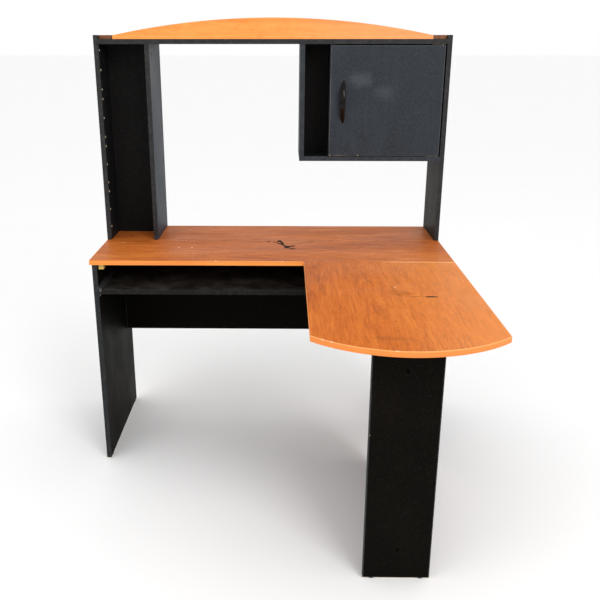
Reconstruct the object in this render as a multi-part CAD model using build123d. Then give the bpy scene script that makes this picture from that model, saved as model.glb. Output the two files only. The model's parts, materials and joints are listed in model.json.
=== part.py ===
"""Corner computer desk with hutch, keyboard tray, return leaf and inset door.

Units are millimetres, +Z is up and the floor is Z = 0.  Distances called
"d" are measured forward from the desk's rear edge; place() turns them into Y.
Each node is a list of solids written to its own STEP file.
"""
import os

from build123d import *

# ---------------------------------------------------------------- driving sizes
BOARD = 16.0                    # laminated board thickness
BAND = 1.0                      # edge band thickness

DESK_WIDTH = 1200.0
MAIN_DEPTH = 500.0              # main top, front to rear
TOP_HEIGHT = 740.0
RETURN_LEFT = 107.0             # left edge of the return leaf
RETURN_STRAIGHT = 660.0         # straight sides, forward of the main top
RETURN_BOW = 98.0               # how far the curved front stands out
OVERALL_DEPTH = MAIN_DEPTH + RETURN_STRAIGHT + RETURN_BOW
REAR_Y = OVERALL_DEPTH / 2

GLIDE_HEIGHT = 3.0
LEG_OUTER = 592.0
LEG_REAR = 16.0
MODESTY_FRONT = 101.0
MODESTY_BOTTOM = 348.0
RETURN_LEG_X = (265.0, 451.0)
RETURN_LEG_FRONT = 1130.0
FIN_REAR = 520.0
LEG_SCREW_INSET = 92.0

HUTCH_HALF = 600.0
HUTCH_DEPTH = 224.0
HUTCH_TOP = 1443.0              # top of the side panels
HUTCH_RISE = 13.0               # side panels stand above the top panel
BACK_FRONT = 93.0               # front face of the inset back panels
PARTITION_X = -430.0
CABINET_X = 94.0
CABINET_BOTTOM = 1026.0
DIVIDER_X = 195.0
CROWN_HALF = 535.0
CROWN_APEX = 1497.5

PIN_HOLE_R = 2.5
PIN_HOLE_DEPTH = 10.0
PIN_HOLE_D = HUTCH_DEPTH - 13.5
PIN_HOLE_Z = 787.0
PIN_PITCH = 32.0
PIN_STEPS = (0, 2, 4, 5, 7, 9, 10, 12, 14, 15, 17, 19)

HANGER_X = 134.0                # face that carries the right tray rail
HANGER_BOTTOM = 600.0
TRAY_TOP = 643.0
TRAY_FRONT = 513.0
TRAY_DEPTH = 320.0
SHEET = 1.2                     # slide sheet steel
SLIDE_GAP = 13.2                # board end to rail face
ROLLER_R = 9.0
ROLLER_WIDTH = 6.0
ROLLER_BORE = 2.05
RAIL_FRONT = 498.0
RAIL_REAR = 148.0
RAIL_FLANGE_FRONT = 467.0
RUNNER_FRONT = 509.0
RUNNER_REAR = 189.0
RAIL_ROLLER = (488.0, 636.0)    # d, Z of the fixed rollers
TRAY_ROLLER = (201.0, 632.5)    # d, Z of the rollers on the runners

DOOR_X = (196.0, 579.5)
DOOR_Z = (1045.0, 1410.0)
HINGE_X = DOOR_X[1] - 8.0
HINGE_D = HUTCH_DEPTH - 8.0
HINGE_PIN_R = 2.5
HANDLE_X = 243.5
HANDLE_Z = 1226.5
HANDLE_HALF = 72.0
HANDLE_SCREWS = 128.0

# ---------------------------------------------------------------- derived sizes
BOARD_UNDER = TOP_HEIGHT - BOARD
LEG_INNER = LEG_OUTER - BOARD
HUTCH_INNER = HUTCH_HALF - BOARD
PANEL_TOP = HUTCH_TOP - HUTCH_RISE
PANEL_UNDER = PANEL_TOP - BOARD
PARTITION_RIGHT = PARTITION_X + BOARD
CABINET_INNER = CABINET_X + BOARD
CABINET_FLOOR = CABINET_BOTTOM + BOARD
FIN_X = (RETURN_LEG_X[0] + RETURN_LEG_X[1]) / 2
TRAY_X = (-LEG_INNER + SLIDE_GAP, HANGER_X - SLIDE_GAP)
TRAY_UNDER = TRAY_TOP - BOARD
RUNNER_TOP = RAIL_ROLLER[1] + ROLLER_R + 0.3 + SHEET

nodes = {}


# ---------------------------------------------------------------- small helpers
def y_of(d):
    """Y coordinate of a distance forward from the rear edge."""
    return REAR_Y - d


def slab(x0, x1, d0, d1, z0, z1):
    """Box between two X values, two forward distances and two heights."""
    centre = ((x0 + x1) / 2, y_of((d0 + d1) / 2), (z0 + z1) / 2)
    return Pos(*centre) * Box(abs(x1 - x0), abs(d1 - d0), abs(z1 - z0))


def rod(start, direction, radius, length):
    """Cylinder from a start point (x, d, z) along a world direction."""
    plane = Plane(origin=(start[0], y_of(start[1]), start[2]), z_dir=direction)
    body = Cylinder(radius, length, align=(Align.CENTER, Align.CENTER, Align.MIN))
    return plane * body


def shift(point, direction, amount):
    """Move a point (x, d, z) along a world direction."""
    return (point[0] + direction[0] * amount,
            point[1] - direction[1] * amount,
            point[2] + direction[2] * amount)


def spun(start, direction, outline):
    """Solid of revolution from (radius, height) pairs about a direction."""
    points = [(0, outline[0][1])] + list(outline) + [(0, outline[-1][1])]
    face = make_face(Polyline(*points, close=True))
    body = revolve(Plane.XZ * face, Axis.Z)
    plane = Plane(origin=(start[0], y_of(start[1]), start[2]), z_dir=direction)
    return plane * body


def flat_screw(start, direction, radius, length):
    """Countersunk screw whose head face lies at start."""
    head = radius * 2.0
    tip = radius * 0.35
    return spun(start, direction, [(head, 0), (head, 0.4), (radius, radius * 1.1),
                                   (radius, length - radius), (tip, length)])


def pan_screw(start, direction, radius, length):
    """Pan-head screw; start lies on the clamped face, the head stands off it."""
    head = radius * 1.9
    rise = radius * 0.75
    return spun(start, direction, [(head * 0.7, -rise), (head, -rise * 0.6), (head, 0),
                                   (radius, 0), (radius, length - radius),
                                   (radius * 0.35, length)])


def confirmat(start, direction, length=48.0):
    """Stepped one-piece board connector with a flat countersunk head."""
    return spun(start, direction, [(5.0, 0), (5.0, 1.0), (3.5, 3.0), (3.5, 16.5),
                                   (2.6, 17.5), (2.6, length - 3), (1.0, length)])


def dowel(start, direction, into_edge=20.0, into_face=10.0):
    """Chamfered wood dowel centred on a joint plane at start."""
    base = shift(start, direction, -into_face)
    length = into_edge + into_face
    return spun(base, direction, [(3.2, 0), (4.0, 1.0), (4.0, length - 1), (3.2, length)])


def add(name, *solids):
    """Append solids to a node."""
    nodes.setdefault(name, []).extend(solids)


cut_tools = {}


def bore(panels, tool):
    """Remember a cutting tool for one or more nodes."""
    for panel in panels:
        cut_tools.setdefault(panel, []).append(tool)


def fasten(name, maker, start, direction, panels, clearance=0.06, **sizes):
    """Add a fastener and its clearance hole in the named panels."""
    add(name, maker(start, direction, **sizes))
    bore(panels, offset(maker(start, direction, **sizes), clearance))


def cam_joint(start, direction, face, edge_panel, face_panel):
    """Cam lock in edge_panel and its bolt screwed into face_panel.

    start is the centre of the board's edge on the joint plane, direction
    points into the board and face points out of the side the cam is set in.
    """
    centre = shift(start, direction, 34.0)
    mouth = shift(centre, face, BOARD / 2)
    inward = tuple(-c for c in face)
    bolt = spun(shift(start, direction, -11.0), direction,
                [(3.0, 0), (3.0, 11), (3.4, 11), (3.4, 32), (2.2, 33), (2.2, 39),
                 (3.2, 40), (3.2, 43)])
    bolt_room = spun(shift(start, direction, -11.1), direction,
                     [(3.06, 0), (3.06, 11), (4.0, 11.2), (4.0, 43.6)])
    cam = rod(mouth, inward, 7.5, 12.5)
    cross = Plane(origin=(mouth[0], y_of(mouth[1]), mouth[2]), z_dir=face)
    drive = cross * (Box(9, 1.6, 3.0) + Box(1.6, 9, 3.0))
    add("cam_locks", cam - bolt_room - drive)
    add("cam_bolts", bolt)
    bore([edge_panel], rod(shift(mouth, face, 0.5), inward, 7.56, 13.06))
    bore([edge_panel, face_panel], bolt_room)


# ---------------------------------------------------------------- desk tops
def return_outline(inset, d_rear):
    """Plan of the return leaf, pulled in by inset on its three free sides."""
    left = RETURN_LEFT + inset
    right = DESK_WIDTH / 2 - inset
    corner = MAIN_DEPTH + RETURN_STRAIGHT - inset
    apex = corner + RETURN_BOW
    middle = (RETURN_LEFT + DESK_WIDTH / 2) / 2
    rear = Polyline((left, y_of(corner)), (left, y_of(d_rear)),
                    (right, y_of(d_rear)), (right, y_of(corner)))
    bow = ThreePointArc((right, y_of(corner)), (middle, y_of(apex)), (left, y_of(corner)))
    return make_face([rear, bow])


def raised(face, z0, z1):
    """Extrude a plan face between two heights."""
    return extrude(Pos(0, 0, z0) * face, z1 - z0)


def build_tops():
    half = DESK_WIDTH / 2
    add("desktop_main", slab(-half + BAND, half - BAND, BAND, MAIN_DEPTH - BAND,
                             BOARD_UNDER, TOP_HEIGHT)
        + slab(RETURN_LEFT, half - BAND, MAIN_DEPTH - BAND, MAIN_DEPTH,
               BOARD_UNDER, TOP_HEIGHT))
    add("main_edge_bands",
        slab(-half, -half + BAND, 0, MAIN_DEPTH, BOARD_UNDER, TOP_HEIGHT),
        slab(half - BAND, half, 0, MAIN_DEPTH, BOARD_UNDER, TOP_HEIGHT),
        slab(-half + BAND, half - BAND, 0, BAND, BOARD_UNDER, TOP_HEIGHT),
        slab(-half + BAND, RETURN_LEFT, MAIN_DEPTH - BAND, MAIN_DEPTH,
             BOARD_UNDER, TOP_HEIGHT))
    core = raised(return_outline(BAND, MAIN_DEPTH), BOARD_UNDER, TOP_HEIGHT)
    full = raised(return_outline(0, MAIN_DEPTH), BOARD_UNDER, TOP_HEIGHT)
    corner = MAIN_DEPTH + RETURN_STRAIGHT
    rim = full - core
    left_strip = slab(RETURN_LEFT, RETURN_LEFT + BAND, MAIN_DEPTH, corner,
                      BOARD_UNDER, TOP_HEIGHT)
    right_strip = slab(half - BAND, half, MAIN_DEPTH, corner, BOARD_UNDER, TOP_HEIGHT)
    add("desktop_return", core)
    add("return_edge_bands", left_strip, right_strip,
        *(rim - left_strip - right_strip).solids())


# ---------------------------------------------------------------- black boards
def fronted(name, band_name, x0, x1, d0, d1, z0, z1):
    """Upright board whose front edge carries its own band strip."""
    add(name, slab(x0, x1, d0, d1 - BAND, z0, z1))
    add(band_name, slab(x0, x1, d1 - BAND, d1, z0, z1))


def build_base():
    for side in (-1, 1):
        name = "left_leg_panel" if side < 0 else "right_leg_panel"
        fronted(name, "base_edge_bands", *sorted((side * LEG_OUTER, side * LEG_INNER)),
                LEG_REAR, MAIN_DEPTH, GLIDE_HEIGHT, BOARD_UNDER)
    add("modesty_panel", slab(-LEG_INNER, LEG_INNER, MODESTY_FRONT - BOARD, MODESTY_FRONT,
                              MODESTY_BOTTOM, BOARD_UNDER))
    x0, x1 = RETURN_LEG_X
    inner_d = RETURN_LEG_FRONT - BOARD
    add("return_leg_panel", slab(x0 + BAND, x1 - BAND, inner_d, RETURN_LEG_FRONT,
                                 GLIDE_HEIGHT, BOARD_UNDER))
    for strip_x in (x0, x1 - BAND):
        add("base_edge_bands", slab(strip_x, strip_x + BAND, inner_d, RETURN_LEG_FRONT,
                                    GLIDE_HEIGHT, BOARD_UNDER))
    add("return_leg_fin", slab(FIN_X - BOARD / 2, FIN_X + BOARD / 2, FIN_REAR, inner_d,
                               GLIDE_HEIGHT, BOARD_UNDER))
    add("tray_hanger_panel", slab(HANGER_X, HANGER_X + BOARD, MODESTY_FRONT,
                                  MAIN_DEPTH - 10, HANGER_BOTTOM, BOARD_UNDER))
    for z in (GLIDE_HEIGHT + LEG_SCREW_INSET, BOARD_UNDER - LEG_SCREW_INSET):
        fasten("confirmat_screws", confirmat, (FIN_X, RETURN_LEG_FRONT, z), (0, 1, 0),
               ["return_leg_panel", "return_leg_fin"])
    for z in (HANGER_BOTTOM + 30, BOARD_UNDER - 30):
        fasten("confirmat_screws", confirmat,
               (HANGER_X + BOARD / 2, MODESTY_FRONT - BOARD, z), (0, -1, 0),
               ["modesty_panel", "tray_hanger_panel"])
    mid = MODESTY_FRONT - BOARD / 2
    for side in (-1, 1):
        leg = "left_leg_panel" if side < 0 else "right_leg_panel"
        inward = (-side, 0, 0)
        for z in (MODESTY_BOTTOM + 48, BOARD_UNDER - 48):
            cam_joint((side * LEG_INNER, mid, z), inward, (0, 1, 0), "modesty_panel", leg)
        fasten("wood_dowels", dowel, (side * LEG_INNER, mid, 536.0), inward,
               ["modesty_panel", leg])
        for d in (150.0, 380.0):
            fasten("wood_dowels", dowel, (side * (LEG_OUTER - BOARD / 2), d, BOARD_UNDER),
                   (0, 0, -1), [leg, "desktop_main"])


def build_glides():
    outline = [(7.0, 0), (9.0, 1.2), (9.0, GLIDE_HEIGHT), (1.3, GLIDE_HEIGHT),
               (1.3, GLIDE_HEIGHT + 13), (0.3, GLIDE_HEIGHT + 16)]
    spots = [(side * (LEG_OUTER - BOARD / 2), d, leg)
             for side, leg in ((-1, "left_leg_panel"), (1, "right_leg_panel"))
             for d in (45.0, 470.0)]
    mid = RETURN_LEG_FRONT - BOARD / 2
    spots += [(RETURN_LEG_X[0] + 25, mid, "return_leg_panel"),
              (RETURN_LEG_X[1] - 25, mid, "return_leg_panel"),
              (FIN_X, FIN_REAR + 40, "return_leg_fin")]
    for x, d, panel in spots:
        add("foot_glides", spun((x, d, 0), (0, 0, 1), outline))
        bore([panel], rod((x, d, GLIDE_HEIGHT - 0.01), (0, 0, 1), 1.36, 16.6))


def corner_block(x, d, face, top, panel, along):
    """Plastic corner block under a top, against a panel face.

    (x, d) is on the panel face; face points out of the panel (world axis).
    along is half the block's length; one screw goes each way.
    """
    out = 18.0
    drop = 20.0
    half = along
    if face[0]:
        block = slab(*sorted((x, x + face[0] * out)), d - half, d + half,
                     BOARD_UNDER - drop, BOARD_UNDER)
        side_at = (x + face[0] * out, d - half * 0.45, BOARD_UNDER - drop * 0.55)
        up_at = (x + face[0] * out * 0.55, d + half * 0.45, BOARD_UNDER - drop)
    else:
        block = slab(x - half, x + half, *sorted((d, d - face[1] * out)),
                     BOARD_UNDER - drop, BOARD_UNDER)
        side_at = (x - half * 0.45, d - face[1] * out, BOARD_UNDER - drop * 0.55)
        up_at = (x + half * 0.45, d - face[1] * out * 0.55, BOARD_UNDER - drop)
    inward = tuple(-c for c in face)
    block = chamfer(block.edges().filter_by(Axis.Z), 2.0)
    for start, direction, board in ((side_at, inward, panel), (up_at, (0, 0, 1), top)):
        screw = flat_screw(start, direction, 1.9, 26.0)
        room = offset(screw, 0.06)
        block -= room
        bore([board], room)
        add("short_panel_screws", screw)
    add("corner_blocks", block)


def build_blocks():
    for side, leg in ((-1, "left_leg_panel"), (1, "right_leg_panel")):
        for d in (250.0, 466.0):
            corner_block(side * LEG_INNER, d, (-side, 0, 0), "desktop_main", leg, 15.0)
    rear = MODESTY_FRONT - BOARD
    for x in (-300.0, 300.0):
        corner_block(x, rear, (0, 1, 0), "desktop_main", "modesty_panel", 15.0)
    corner_block(HANGER_X + BOARD, 300.0, (1, 0, 0), "desktop_main", "tray_hanger_panel",
                 15.0)
    inner_d = RETURN_LEG_FRONT - BOARD
    for x in (RETURN_LEG_X[0] + 40, RETURN_LEG_X[1] - 40):
        corner_block(x, inner_d, (0, 1, 0), "desktop_return", "return_leg_panel", 15.0)
    for d in (650.0, 950.0):
        corner_block(FIN_X + BOARD / 2, d, (1, 0, 0), "desktop_return", "return_leg_fin",
                     15.0)


def build_mending_plates():
    """Flat plates that tie the return leaf to the main top from below."""
    for x in (230.0, 520.0):
        plate = slab(x - 18, x + 18, MAIN_DEPTH - 60, MAIN_DEPTH + 60,
                     BOARD_UNDER - 2, BOARD_UNDER)
        plate = fillet(plate.edges().filter_by(Axis.Z), 8)
        for d, top in ((-48, "desktop_main"), (-18, "desktop_main"),
                       (18, "desktop_return"), (48, "desktop_return")):
            screw = flat_screw((x, MAIN_DEPTH + d, BOARD_UNDER - 2), (0, 0, 1), 2.0, 14.0)
            room = offset(screw, 0.06)
            plate -= room
            bore([top], room)
            add("mending_plate_screws", screw)
        add("mending_plates", plate)


# ---------------------------------------------------------------- hutch
def build_hutch():
    bands = "hutch_edge_bands"
    fronted("hutch_side_left", bands, -HUTCH_HALF, -HUTCH_INNER, 0, HUTCH_DEPTH,
            TOP_HEIGHT, HUTCH_TOP)
    fronted("hutch_side_right", bands, HUTCH_INNER, HUTCH_HALF, 0, HUTCH_DEPTH,
            TOP_HEIGHT, HUTCH_TOP)
    fronted("hutch_top_panel", bands, -HUTCH_INNER, HUTCH_INNER, 0, HUTCH_DEPTH,
            PANEL_UNDER, PANEL_TOP)
    fronted("tower_partition", bands, PARTITION_X, PARTITION_RIGHT, 0, HUTCH_DEPTH,
            TOP_HEIGHT, PANEL_UNDER)
    fronted("cabinet_left_panel", bands, CABINET_X, CABINET_INNER, 0, HUTCH_DEPTH,
            CABINET_BOTTOM, PANEL_UNDER)
    fronted("cabinet_bottom_panel", bands, CABINET_INNER, HUTCH_INNER, 0, HUTCH_DEPTH,
            CABINET_BOTTOM, CABINET_FLOOR)
    fronted("cabinet_divider", bands, DIVIDER_X, DIVIDER_X + BOARD, BACK_FRONT,
            HUTCH_DEPTH - BOARD - 2, CABINET_FLOOR, PANEL_UNDER)
    back_rear = BACK_FRONT - BOARD
    add("tower_back_panel", slab(-HUTCH_INNER, PARTITION_X, back_rear, BACK_FRONT,
                                 TOP_HEIGHT, PANEL_UNDER))
    add("cabinet_back_panel", slab(CABINET_INNER, HUTCH_INNER, back_rear, BACK_FRONT,
                                   CABINET_FLOOR, PANEL_UNDER))
    for step in PIN_STEPS:
        z = PIN_HOLE_Z + PIN_PITCH * step
        bore(["hutch_side_left"], rod((-HUTCH_INNER, PIN_HOLE_D, z), (-1, 0, 0),
                                      PIN_HOLE_R, PIN_HOLE_DEPTH))
        bore(["tower_partition"], rod((PARTITION_X, PIN_HOLE_D, z), (1, 0, 0),
                                      PIN_HOLE_R, PIN_HOLE_DEPTH))


def build_hutch_joints():
    mid_top = PANEL_UNDER + BOARD / 2
    mid_floor = CABINET_BOTTOM + BOARD / 2
    for d in (36.0, 183.0):
        for side, panel in ((-1, "hutch_side_left"), (1, "hutch_side_right")):
            cam_joint((side * HUTCH_INNER, d, mid_top), (-side, 0, 0), (0, 0, 1),
                      "hutch_top_panel", panel)
        cam_joint((PARTITION_X + BOARD / 2, d - 16 if d < 100 else d, PANEL_UNDER),
                  (0, 0, -1), (1, 0, 0), "tower_partition", "hutch_top_panel")
        cam_joint((CABINET_X + BOARD / 2, d, PANEL_UNDER), (0, 0, -1), (-1, 0, 0),
                  "cabinet_left_panel", "hutch_top_panel")
        cam_joint((CABINET_INNER, d, mid_floor), (1, 0, 0), (0, 0, -1),
                  "cabinet_bottom_panel", "cabinet_left_panel")
        cam_joint((HUTCH_INNER, d, mid_floor), (-1, 0, 0), (0, 0, -1),
                  "cabinet_bottom_panel", "hutch_side_right")
    up = (0, 0, 1)
    for d in (60.0, 150.0):
        for x, panel in ((-HUTCH_HALF + BOARD / 2, "hutch_side_left"),
                         (HUTCH_HALF - BOARD / 2, "hutch_side_right"),
                         (PARTITION_X + BOARD / 2, "tower_partition")):
            fasten("wood_dowels", dowel, (x, d, TOP_HEIGHT), up, [panel, "desktop_main"])
    for d in (110.0, 190.0):
        fasten("long_panel_screws", flat_screw, (PARTITION_X + BOARD / 2, d, BOARD_UNDER),
               up, ["desktop_main", "tower_partition"], radius=2.2, length=50.0)
        fasten("long_panel_screws", flat_screw, (DIVIDER_X + BOARD / 2, d, CABINET_BOTTOM),
               up, ["cabinet_bottom_panel", "cabinet_divider"], radius=2.2, length=50.0)
    for d in (120.0, 180.0):
        fasten("wood_dowels", dowel, (DIVIDER_X + BOARD / 2, d, PANEL_UNDER), (0, 0, -1),
               ["cabinet_divider", "hutch_top_panel"])
    mid_back = BACK_FRONT - BOARD / 2
    for z in (840.0, 1100.0, 1330.0):
        for x, direction, panel in ((-HUTCH_INNER, (1, 0, 0), "hutch_side_left"),
                                    (PARTITION_X, (-1, 0, 0), "tower_partition")):
            fasten("wood_dowels", dowel, (x, mid_back, z), direction,
                   ["tower_back_panel", panel])
    for z in (1120.0, 1330.0):
        for x, direction, panel in ((CABINET_INNER, (1, 0, 0), "cabinet_left_panel"),
                                    (HUTCH_INNER, (-1, 0, 0), "hutch_side_right")):
            fasten("wood_dowels", dowel, (x, mid_back, z), direction,
                   ["cabinet_back_panel", panel])


def build_crown():
    end_z = HUTCH_TOP - 1
    front = y_of(HUTCH_DEPTH)
    base = Polyline((-CROWN_HALF, end_z), (-CROWN_HALF, PANEL_TOP), (CROWN_HALF, PANEL_TOP),
                    (CROWN_HALF, end_z))
    arch = ThreePointArc((CROWN_HALF, end_z), (0, CROWN_APEX), (-CROWN_HALF, end_z))
    face = make_face([base, arch])
    board = extrude(Plane(origin=(0, front, 0), x_dir=(1, 0, 0), z_dir=(0, -1, 0)) * face,
                    -BOARD)
    add("crown_board", board)
    cleat_d = HUTCH_DEPTH - BOARD - BOARD
    add("crown_cleat", slab(-HUTCH_INNER, HUTCH_INNER, cleat_d, HUTCH_DEPTH - BOARD,
                            PANEL_TOP, HUTCH_TOP))
    mid_z = (PANEL_TOP + HUTCH_TOP) / 2
    for x in (-440.0, -150.0, 150.0, 440.0):
        fasten("short_panel_screws", flat_screw, (x, cleat_d, mid_z), (0, -1, 0),
               ["crown_cleat", "crown_board"], radius=1.9, length=26.0)
    for x in (-500.0, -250.0, 40.0, 300.0, 500.0):
        fasten("short_panel_screws", flat_screw, (x, cleat_d + BOARD / 2, PANEL_UNDER),
               (0, 0, 1), ["hutch_top_panel", "crown_cleat"], radius=1.9, length=26.0)


# ---------------------------------------------------------------- keyboard tray
def across(side, s0, s1):
    """X range of a slide piece, measured out from the rail's board face."""
    base = -LEG_INNER if side < 0 else HANGER_X
    return sorted((base - side * s0, base - side * s1))


def roller_piece(side, s0, d, z):
    """Grooved nylon roller with a running bore."""
    x0, x1 = across(side, s0, s0 + ROLLER_WIDTH)
    wheel = spun((x0, d, z), (1, 0, 0), [(ROLLER_R - 0.6, 0), (ROLLER_R, 0.8),
                                         (ROLLER_R, x1 - x0 - 0.8),
                                         (ROLLER_R - 0.6, x1 - x0)])
    return wheel - rod((x0 - 1, d, z), (1, 0, 0), ROLLER_BORE, x1 - x0 + 2)


def build_tray():
    x0, x1 = TRAY_X
    add("keyboard_tray", slab(x0, x1, TRAY_FRONT - TRAY_DEPTH, TRAY_FRONT - BAND,
                              TRAY_UNDER, TRAY_TOP))
    add("tray_edge_band", slab(x0, x1, TRAY_FRONT - BAND, TRAY_FRONT,
                               TRAY_UNDER, TRAY_TOP))
    for side, tag in ((-1, "left"), (1, "right")):
        rail_board = "left_leg_panel" if side < 0 else "tray_hanger_panel"
        build_rail(side, tag, rail_board)
        build_runner(side, tag)


def build_rail(side, tag, board):
    """Fixed slide member: web, two flanges and the front roller."""
    low = TRAY_ROLLER[1] - ROLLER_R - 0.3
    high = 650.0
    web = slab(*across(side, 0, SHEET), RAIL_REAR, RAIL_FRONT, 611.0, high + SHEET)
    lower = slab(*across(side, 0, 10.5), RAIL_REAR, RAIL_FLANGE_FRONT, low - SHEET, low)
    upper = slab(*across(side, 0, 10.5), RAIL_REAR, RAIL_FLANGE_FRONT, high, high + SHEET)
    rail = web + lower + upper
    inward = (-side, 0, 0)
    outward = (side, 0, 0)
    face = across(side, SHEET, SHEET)[0]
    for d in (484.0, 330.0, 176.0):
        screw = pan_screw((face, d, 616.5), outward, 1.9, 14.0)
        rail -= rod((face + inward[0], d, 616.5), outward, 2.0, 4.0)
        bore([board], offset(screw, 0.06))
        add("rail_screws", screw)
    d, z = RAIL_ROLLER
    rail -= rod((face + inward[0], d, z), outward, 2.05, 4.0)
    add("rail_" + tag, rail)
    add("rail_roller_" + tag, roller_piece(side, 2.2, d, z))
    base = across(side, 0, 0)[0]
    add("rail_rivets", spun((base, d, z), inward,
                            [(2.0, 0), (2.0, SHEET + 0.02), (3.2, SHEET + 0.02), (3.2, 2.0),
                             (2.0, 2.0), (2.0, 8.5), (3.8, 8.5), (3.4, 9.7)]))


def build_runner(side, tag):
    """Moving slide member: web, rolling flange, tray flange and rear roller."""
    top = RUNNER_TOP
    web = slab(*across(side, SLIDE_GAP - SHEET, SLIDE_GAP), RUNNER_REAR, RUNNER_FRONT,
               TRAY_UNDER - SHEET, top)
    rolling = slab(*across(side, 2.6, SLIDE_GAP), RUNNER_REAR, RUNNER_FRONT,
                   top - SHEET, top)
    carrying = slab(*across(side, SLIDE_GAP - SHEET, 30.0), RUNNER_REAR, RUNNER_FRONT,
                    TRAY_UNDER - SHEET, TRAY_UNDER)
    runner = web + rolling + carrying
    x = across(side, 23.0, 23.0)[0]
    for d in (480.0, 350.0, 220.0):
        screw = pan_screw((x, d, TRAY_UNDER - SHEET), (0, 0, 1), 1.9, 13.0)
        runner -= rod((x, d, TRAY_UNDER - 4), (0, 0, 1), 2.0, 8.0)
        bore(["keyboard_tray"], offset(screw, 0.06))
        add("runner_screws", screw)
    d, z = TRAY_ROLLER
    outward = (side, 0, 0)
    base = across(side, SLIDE_GAP, SLIDE_GAP)[0]
    runner -= rod((base - outward[0], d, z), outward, 2.05, 4.0)
    add("runner_" + tag, runner)
    add("runner_roller_" + tag, roller_piece(side, 4.2, d, z))
    add("runner_rivets", spun((base, d, z), outward,
                              [(2.0, 0), (2.0, SHEET + 0.02), (3.2, SHEET + 0.02),
                               (3.2, 2.7), (2.0, 2.7), (2.0, 9.3), (3.8, 9.3),
                               (3.4, 10.4)]))


# ---------------------------------------------------------------- door
def build_door():
    x0, x1 = DOOR_X
    z0, z1 = DOOR_Z
    rear = HUTCH_DEPTH - BOARD
    add("cabinet_door", slab(x0 + BAND, x1 - BAND, rear, HUTCH_DEPTH, z0, z1))
    for strip_x in (x0, x1 - BAND):
        add("door_edge_bands", slab(strip_x, strip_x + BAND, rear, HUTCH_DEPTH, z0, z1))
    build_hinges()
    build_handle()
    build_catch()


def build_hinges():
    """Pivot hinges: a fixed leaf with a pin and a bored leaf let into the door."""
    leaf_x = (HINGE_X - 38, HINGE_X + 7)
    leaf_d = (HINGE_D - 6, HINGE_D + 6)
    ends = ((CABINET_FLOOR, 1, DOOR_Z[0], "cabinet_bottom_panel"),
            (PANEL_UNDER, -1, DOOR_Z[1], "hutch_top_panel"))
    for base, up, door_edge, board in ends:
        leaf = slab(*leaf_x, *leaf_d, *sorted((base, base + up * SHEET)))
        leaf = fillet(leaf.edges().filter_by(Axis.Z), 2.5)
        pin_from = (HINGE_X, HINGE_D, base)
        tall = abs(door_edge - base) + 10.0
        leaf -= rod((HINGE_X, HINGE_D, base - 2), (0, 0, 1), HINGE_PIN_R, 4)
        add("hinge_pins", spun(pin_from, (0, 0, up), [(HINGE_PIN_R, 0),
                                                      (HINGE_PIN_R, tall - 0.8),
                                                      (HINGE_PIN_R - 0.8, tall)]))
        cup = slab(leaf_x[0], DOOR_X[1] - 1.8, *leaf_d,
                   *sorted((door_edge, door_edge + up * SHEET)))
        cup = fillet(cup.edges().filter_by(Axis.Z), 2.5)
        bore(["cabinet_door", "door_edge_bands"], cup)
        bush = rod((HINGE_X, HINGE_D, door_edge), (0, 0, up), 4.5, 11.5)
        bore(["cabinet_door"], bush)
        cup = cup + bush - rod((HINGE_X, HINGE_D, door_edge - up), (0, 0, up),
                               HINGE_PIN_R + 0.05, 12.0)
        for x in (HINGE_X - 30, HINGE_X - 16):
            start = (x, HINGE_D, base + up * SHEET)
            screw = flat_screw(start, (0, 0, -up), 1.4, 12.0)
            room = offset(screw, 0.05)
            leaf -= room
            bore([board], room)
            add("hinge_screws_fixed", screw)
            start = (x + 5, HINGE_D, door_edge)
            screw = flat_screw(start, (0, 0, up), 1.4, 12.0)
            room = offset(screw, 0.05)
            cup -= room
            bore(["cabinet_door"], room)
            add("door_plate_screws", screw)
        add("hinge_leaves_fixed", leaf)
        add("hinge_leaves_door", cup)


def build_handle():
    """Leaf-shaped bow pull on two feet."""
    tip = 4.0
    front = make_face([
        ThreePointArc((-tip, -HANDLE_HALF), (-17, 0), (-tip, HANDLE_HALF)),
        Line((-tip, HANDLE_HALF), (tip, HANDLE_HALF)),
        ThreePointArc((tip, HANDLE_HALF), (5, 0), (tip, -HANDLE_HALF)),
        Line((tip, -HANDLE_HALF), (-tip, -HANDLE_HALF))])
    plane = Plane(origin=(HANDLE_X, y_of(HUTCH_DEPTH), HANDLE_Z), x_dir=(1, 0, 0),
                  z_dir=(0, -1, 0))
    outline = extrude(plane * front, 60)
    inner = HANDLE_HALF - 17
    side = make_face([
        ThreePointArc((0, -HANDLE_HALF), (27, 0), (0, HANDLE_HALF)),
        Line((0, HANDLE_HALF), (0, inner)),
        ThreePointArc((0, inner), (20.5, 0), (0, -inner)),
        Line((0, -inner), (0, -HANDLE_HALF))])
    flank = Plane(origin=(HANDLE_X - 30, y_of(HUTCH_DEPTH), HANDLE_Z), x_dir=(0, -1, 0),
                  z_dir=(-1, 0, 0))
    bow = extrude(flank * side, -60)
    handle = (outline & bow).solids()[0]
    for z in (-HANDLE_SCREWS / 2, HANDLE_SCREWS / 2):
        at = (HANDLE_X - 2, HUTCH_DEPTH - BOARD, HANDLE_Z + z)
        screw = pan_screw(at, (0, -1, 0), 2.0, BOARD + 4.5)
        room = offset(screw, 0.06)
        handle -= room
        bore(["cabinet_door"], room)
        add("handle_screws", screw)
    add("door_handle", handle)


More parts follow.
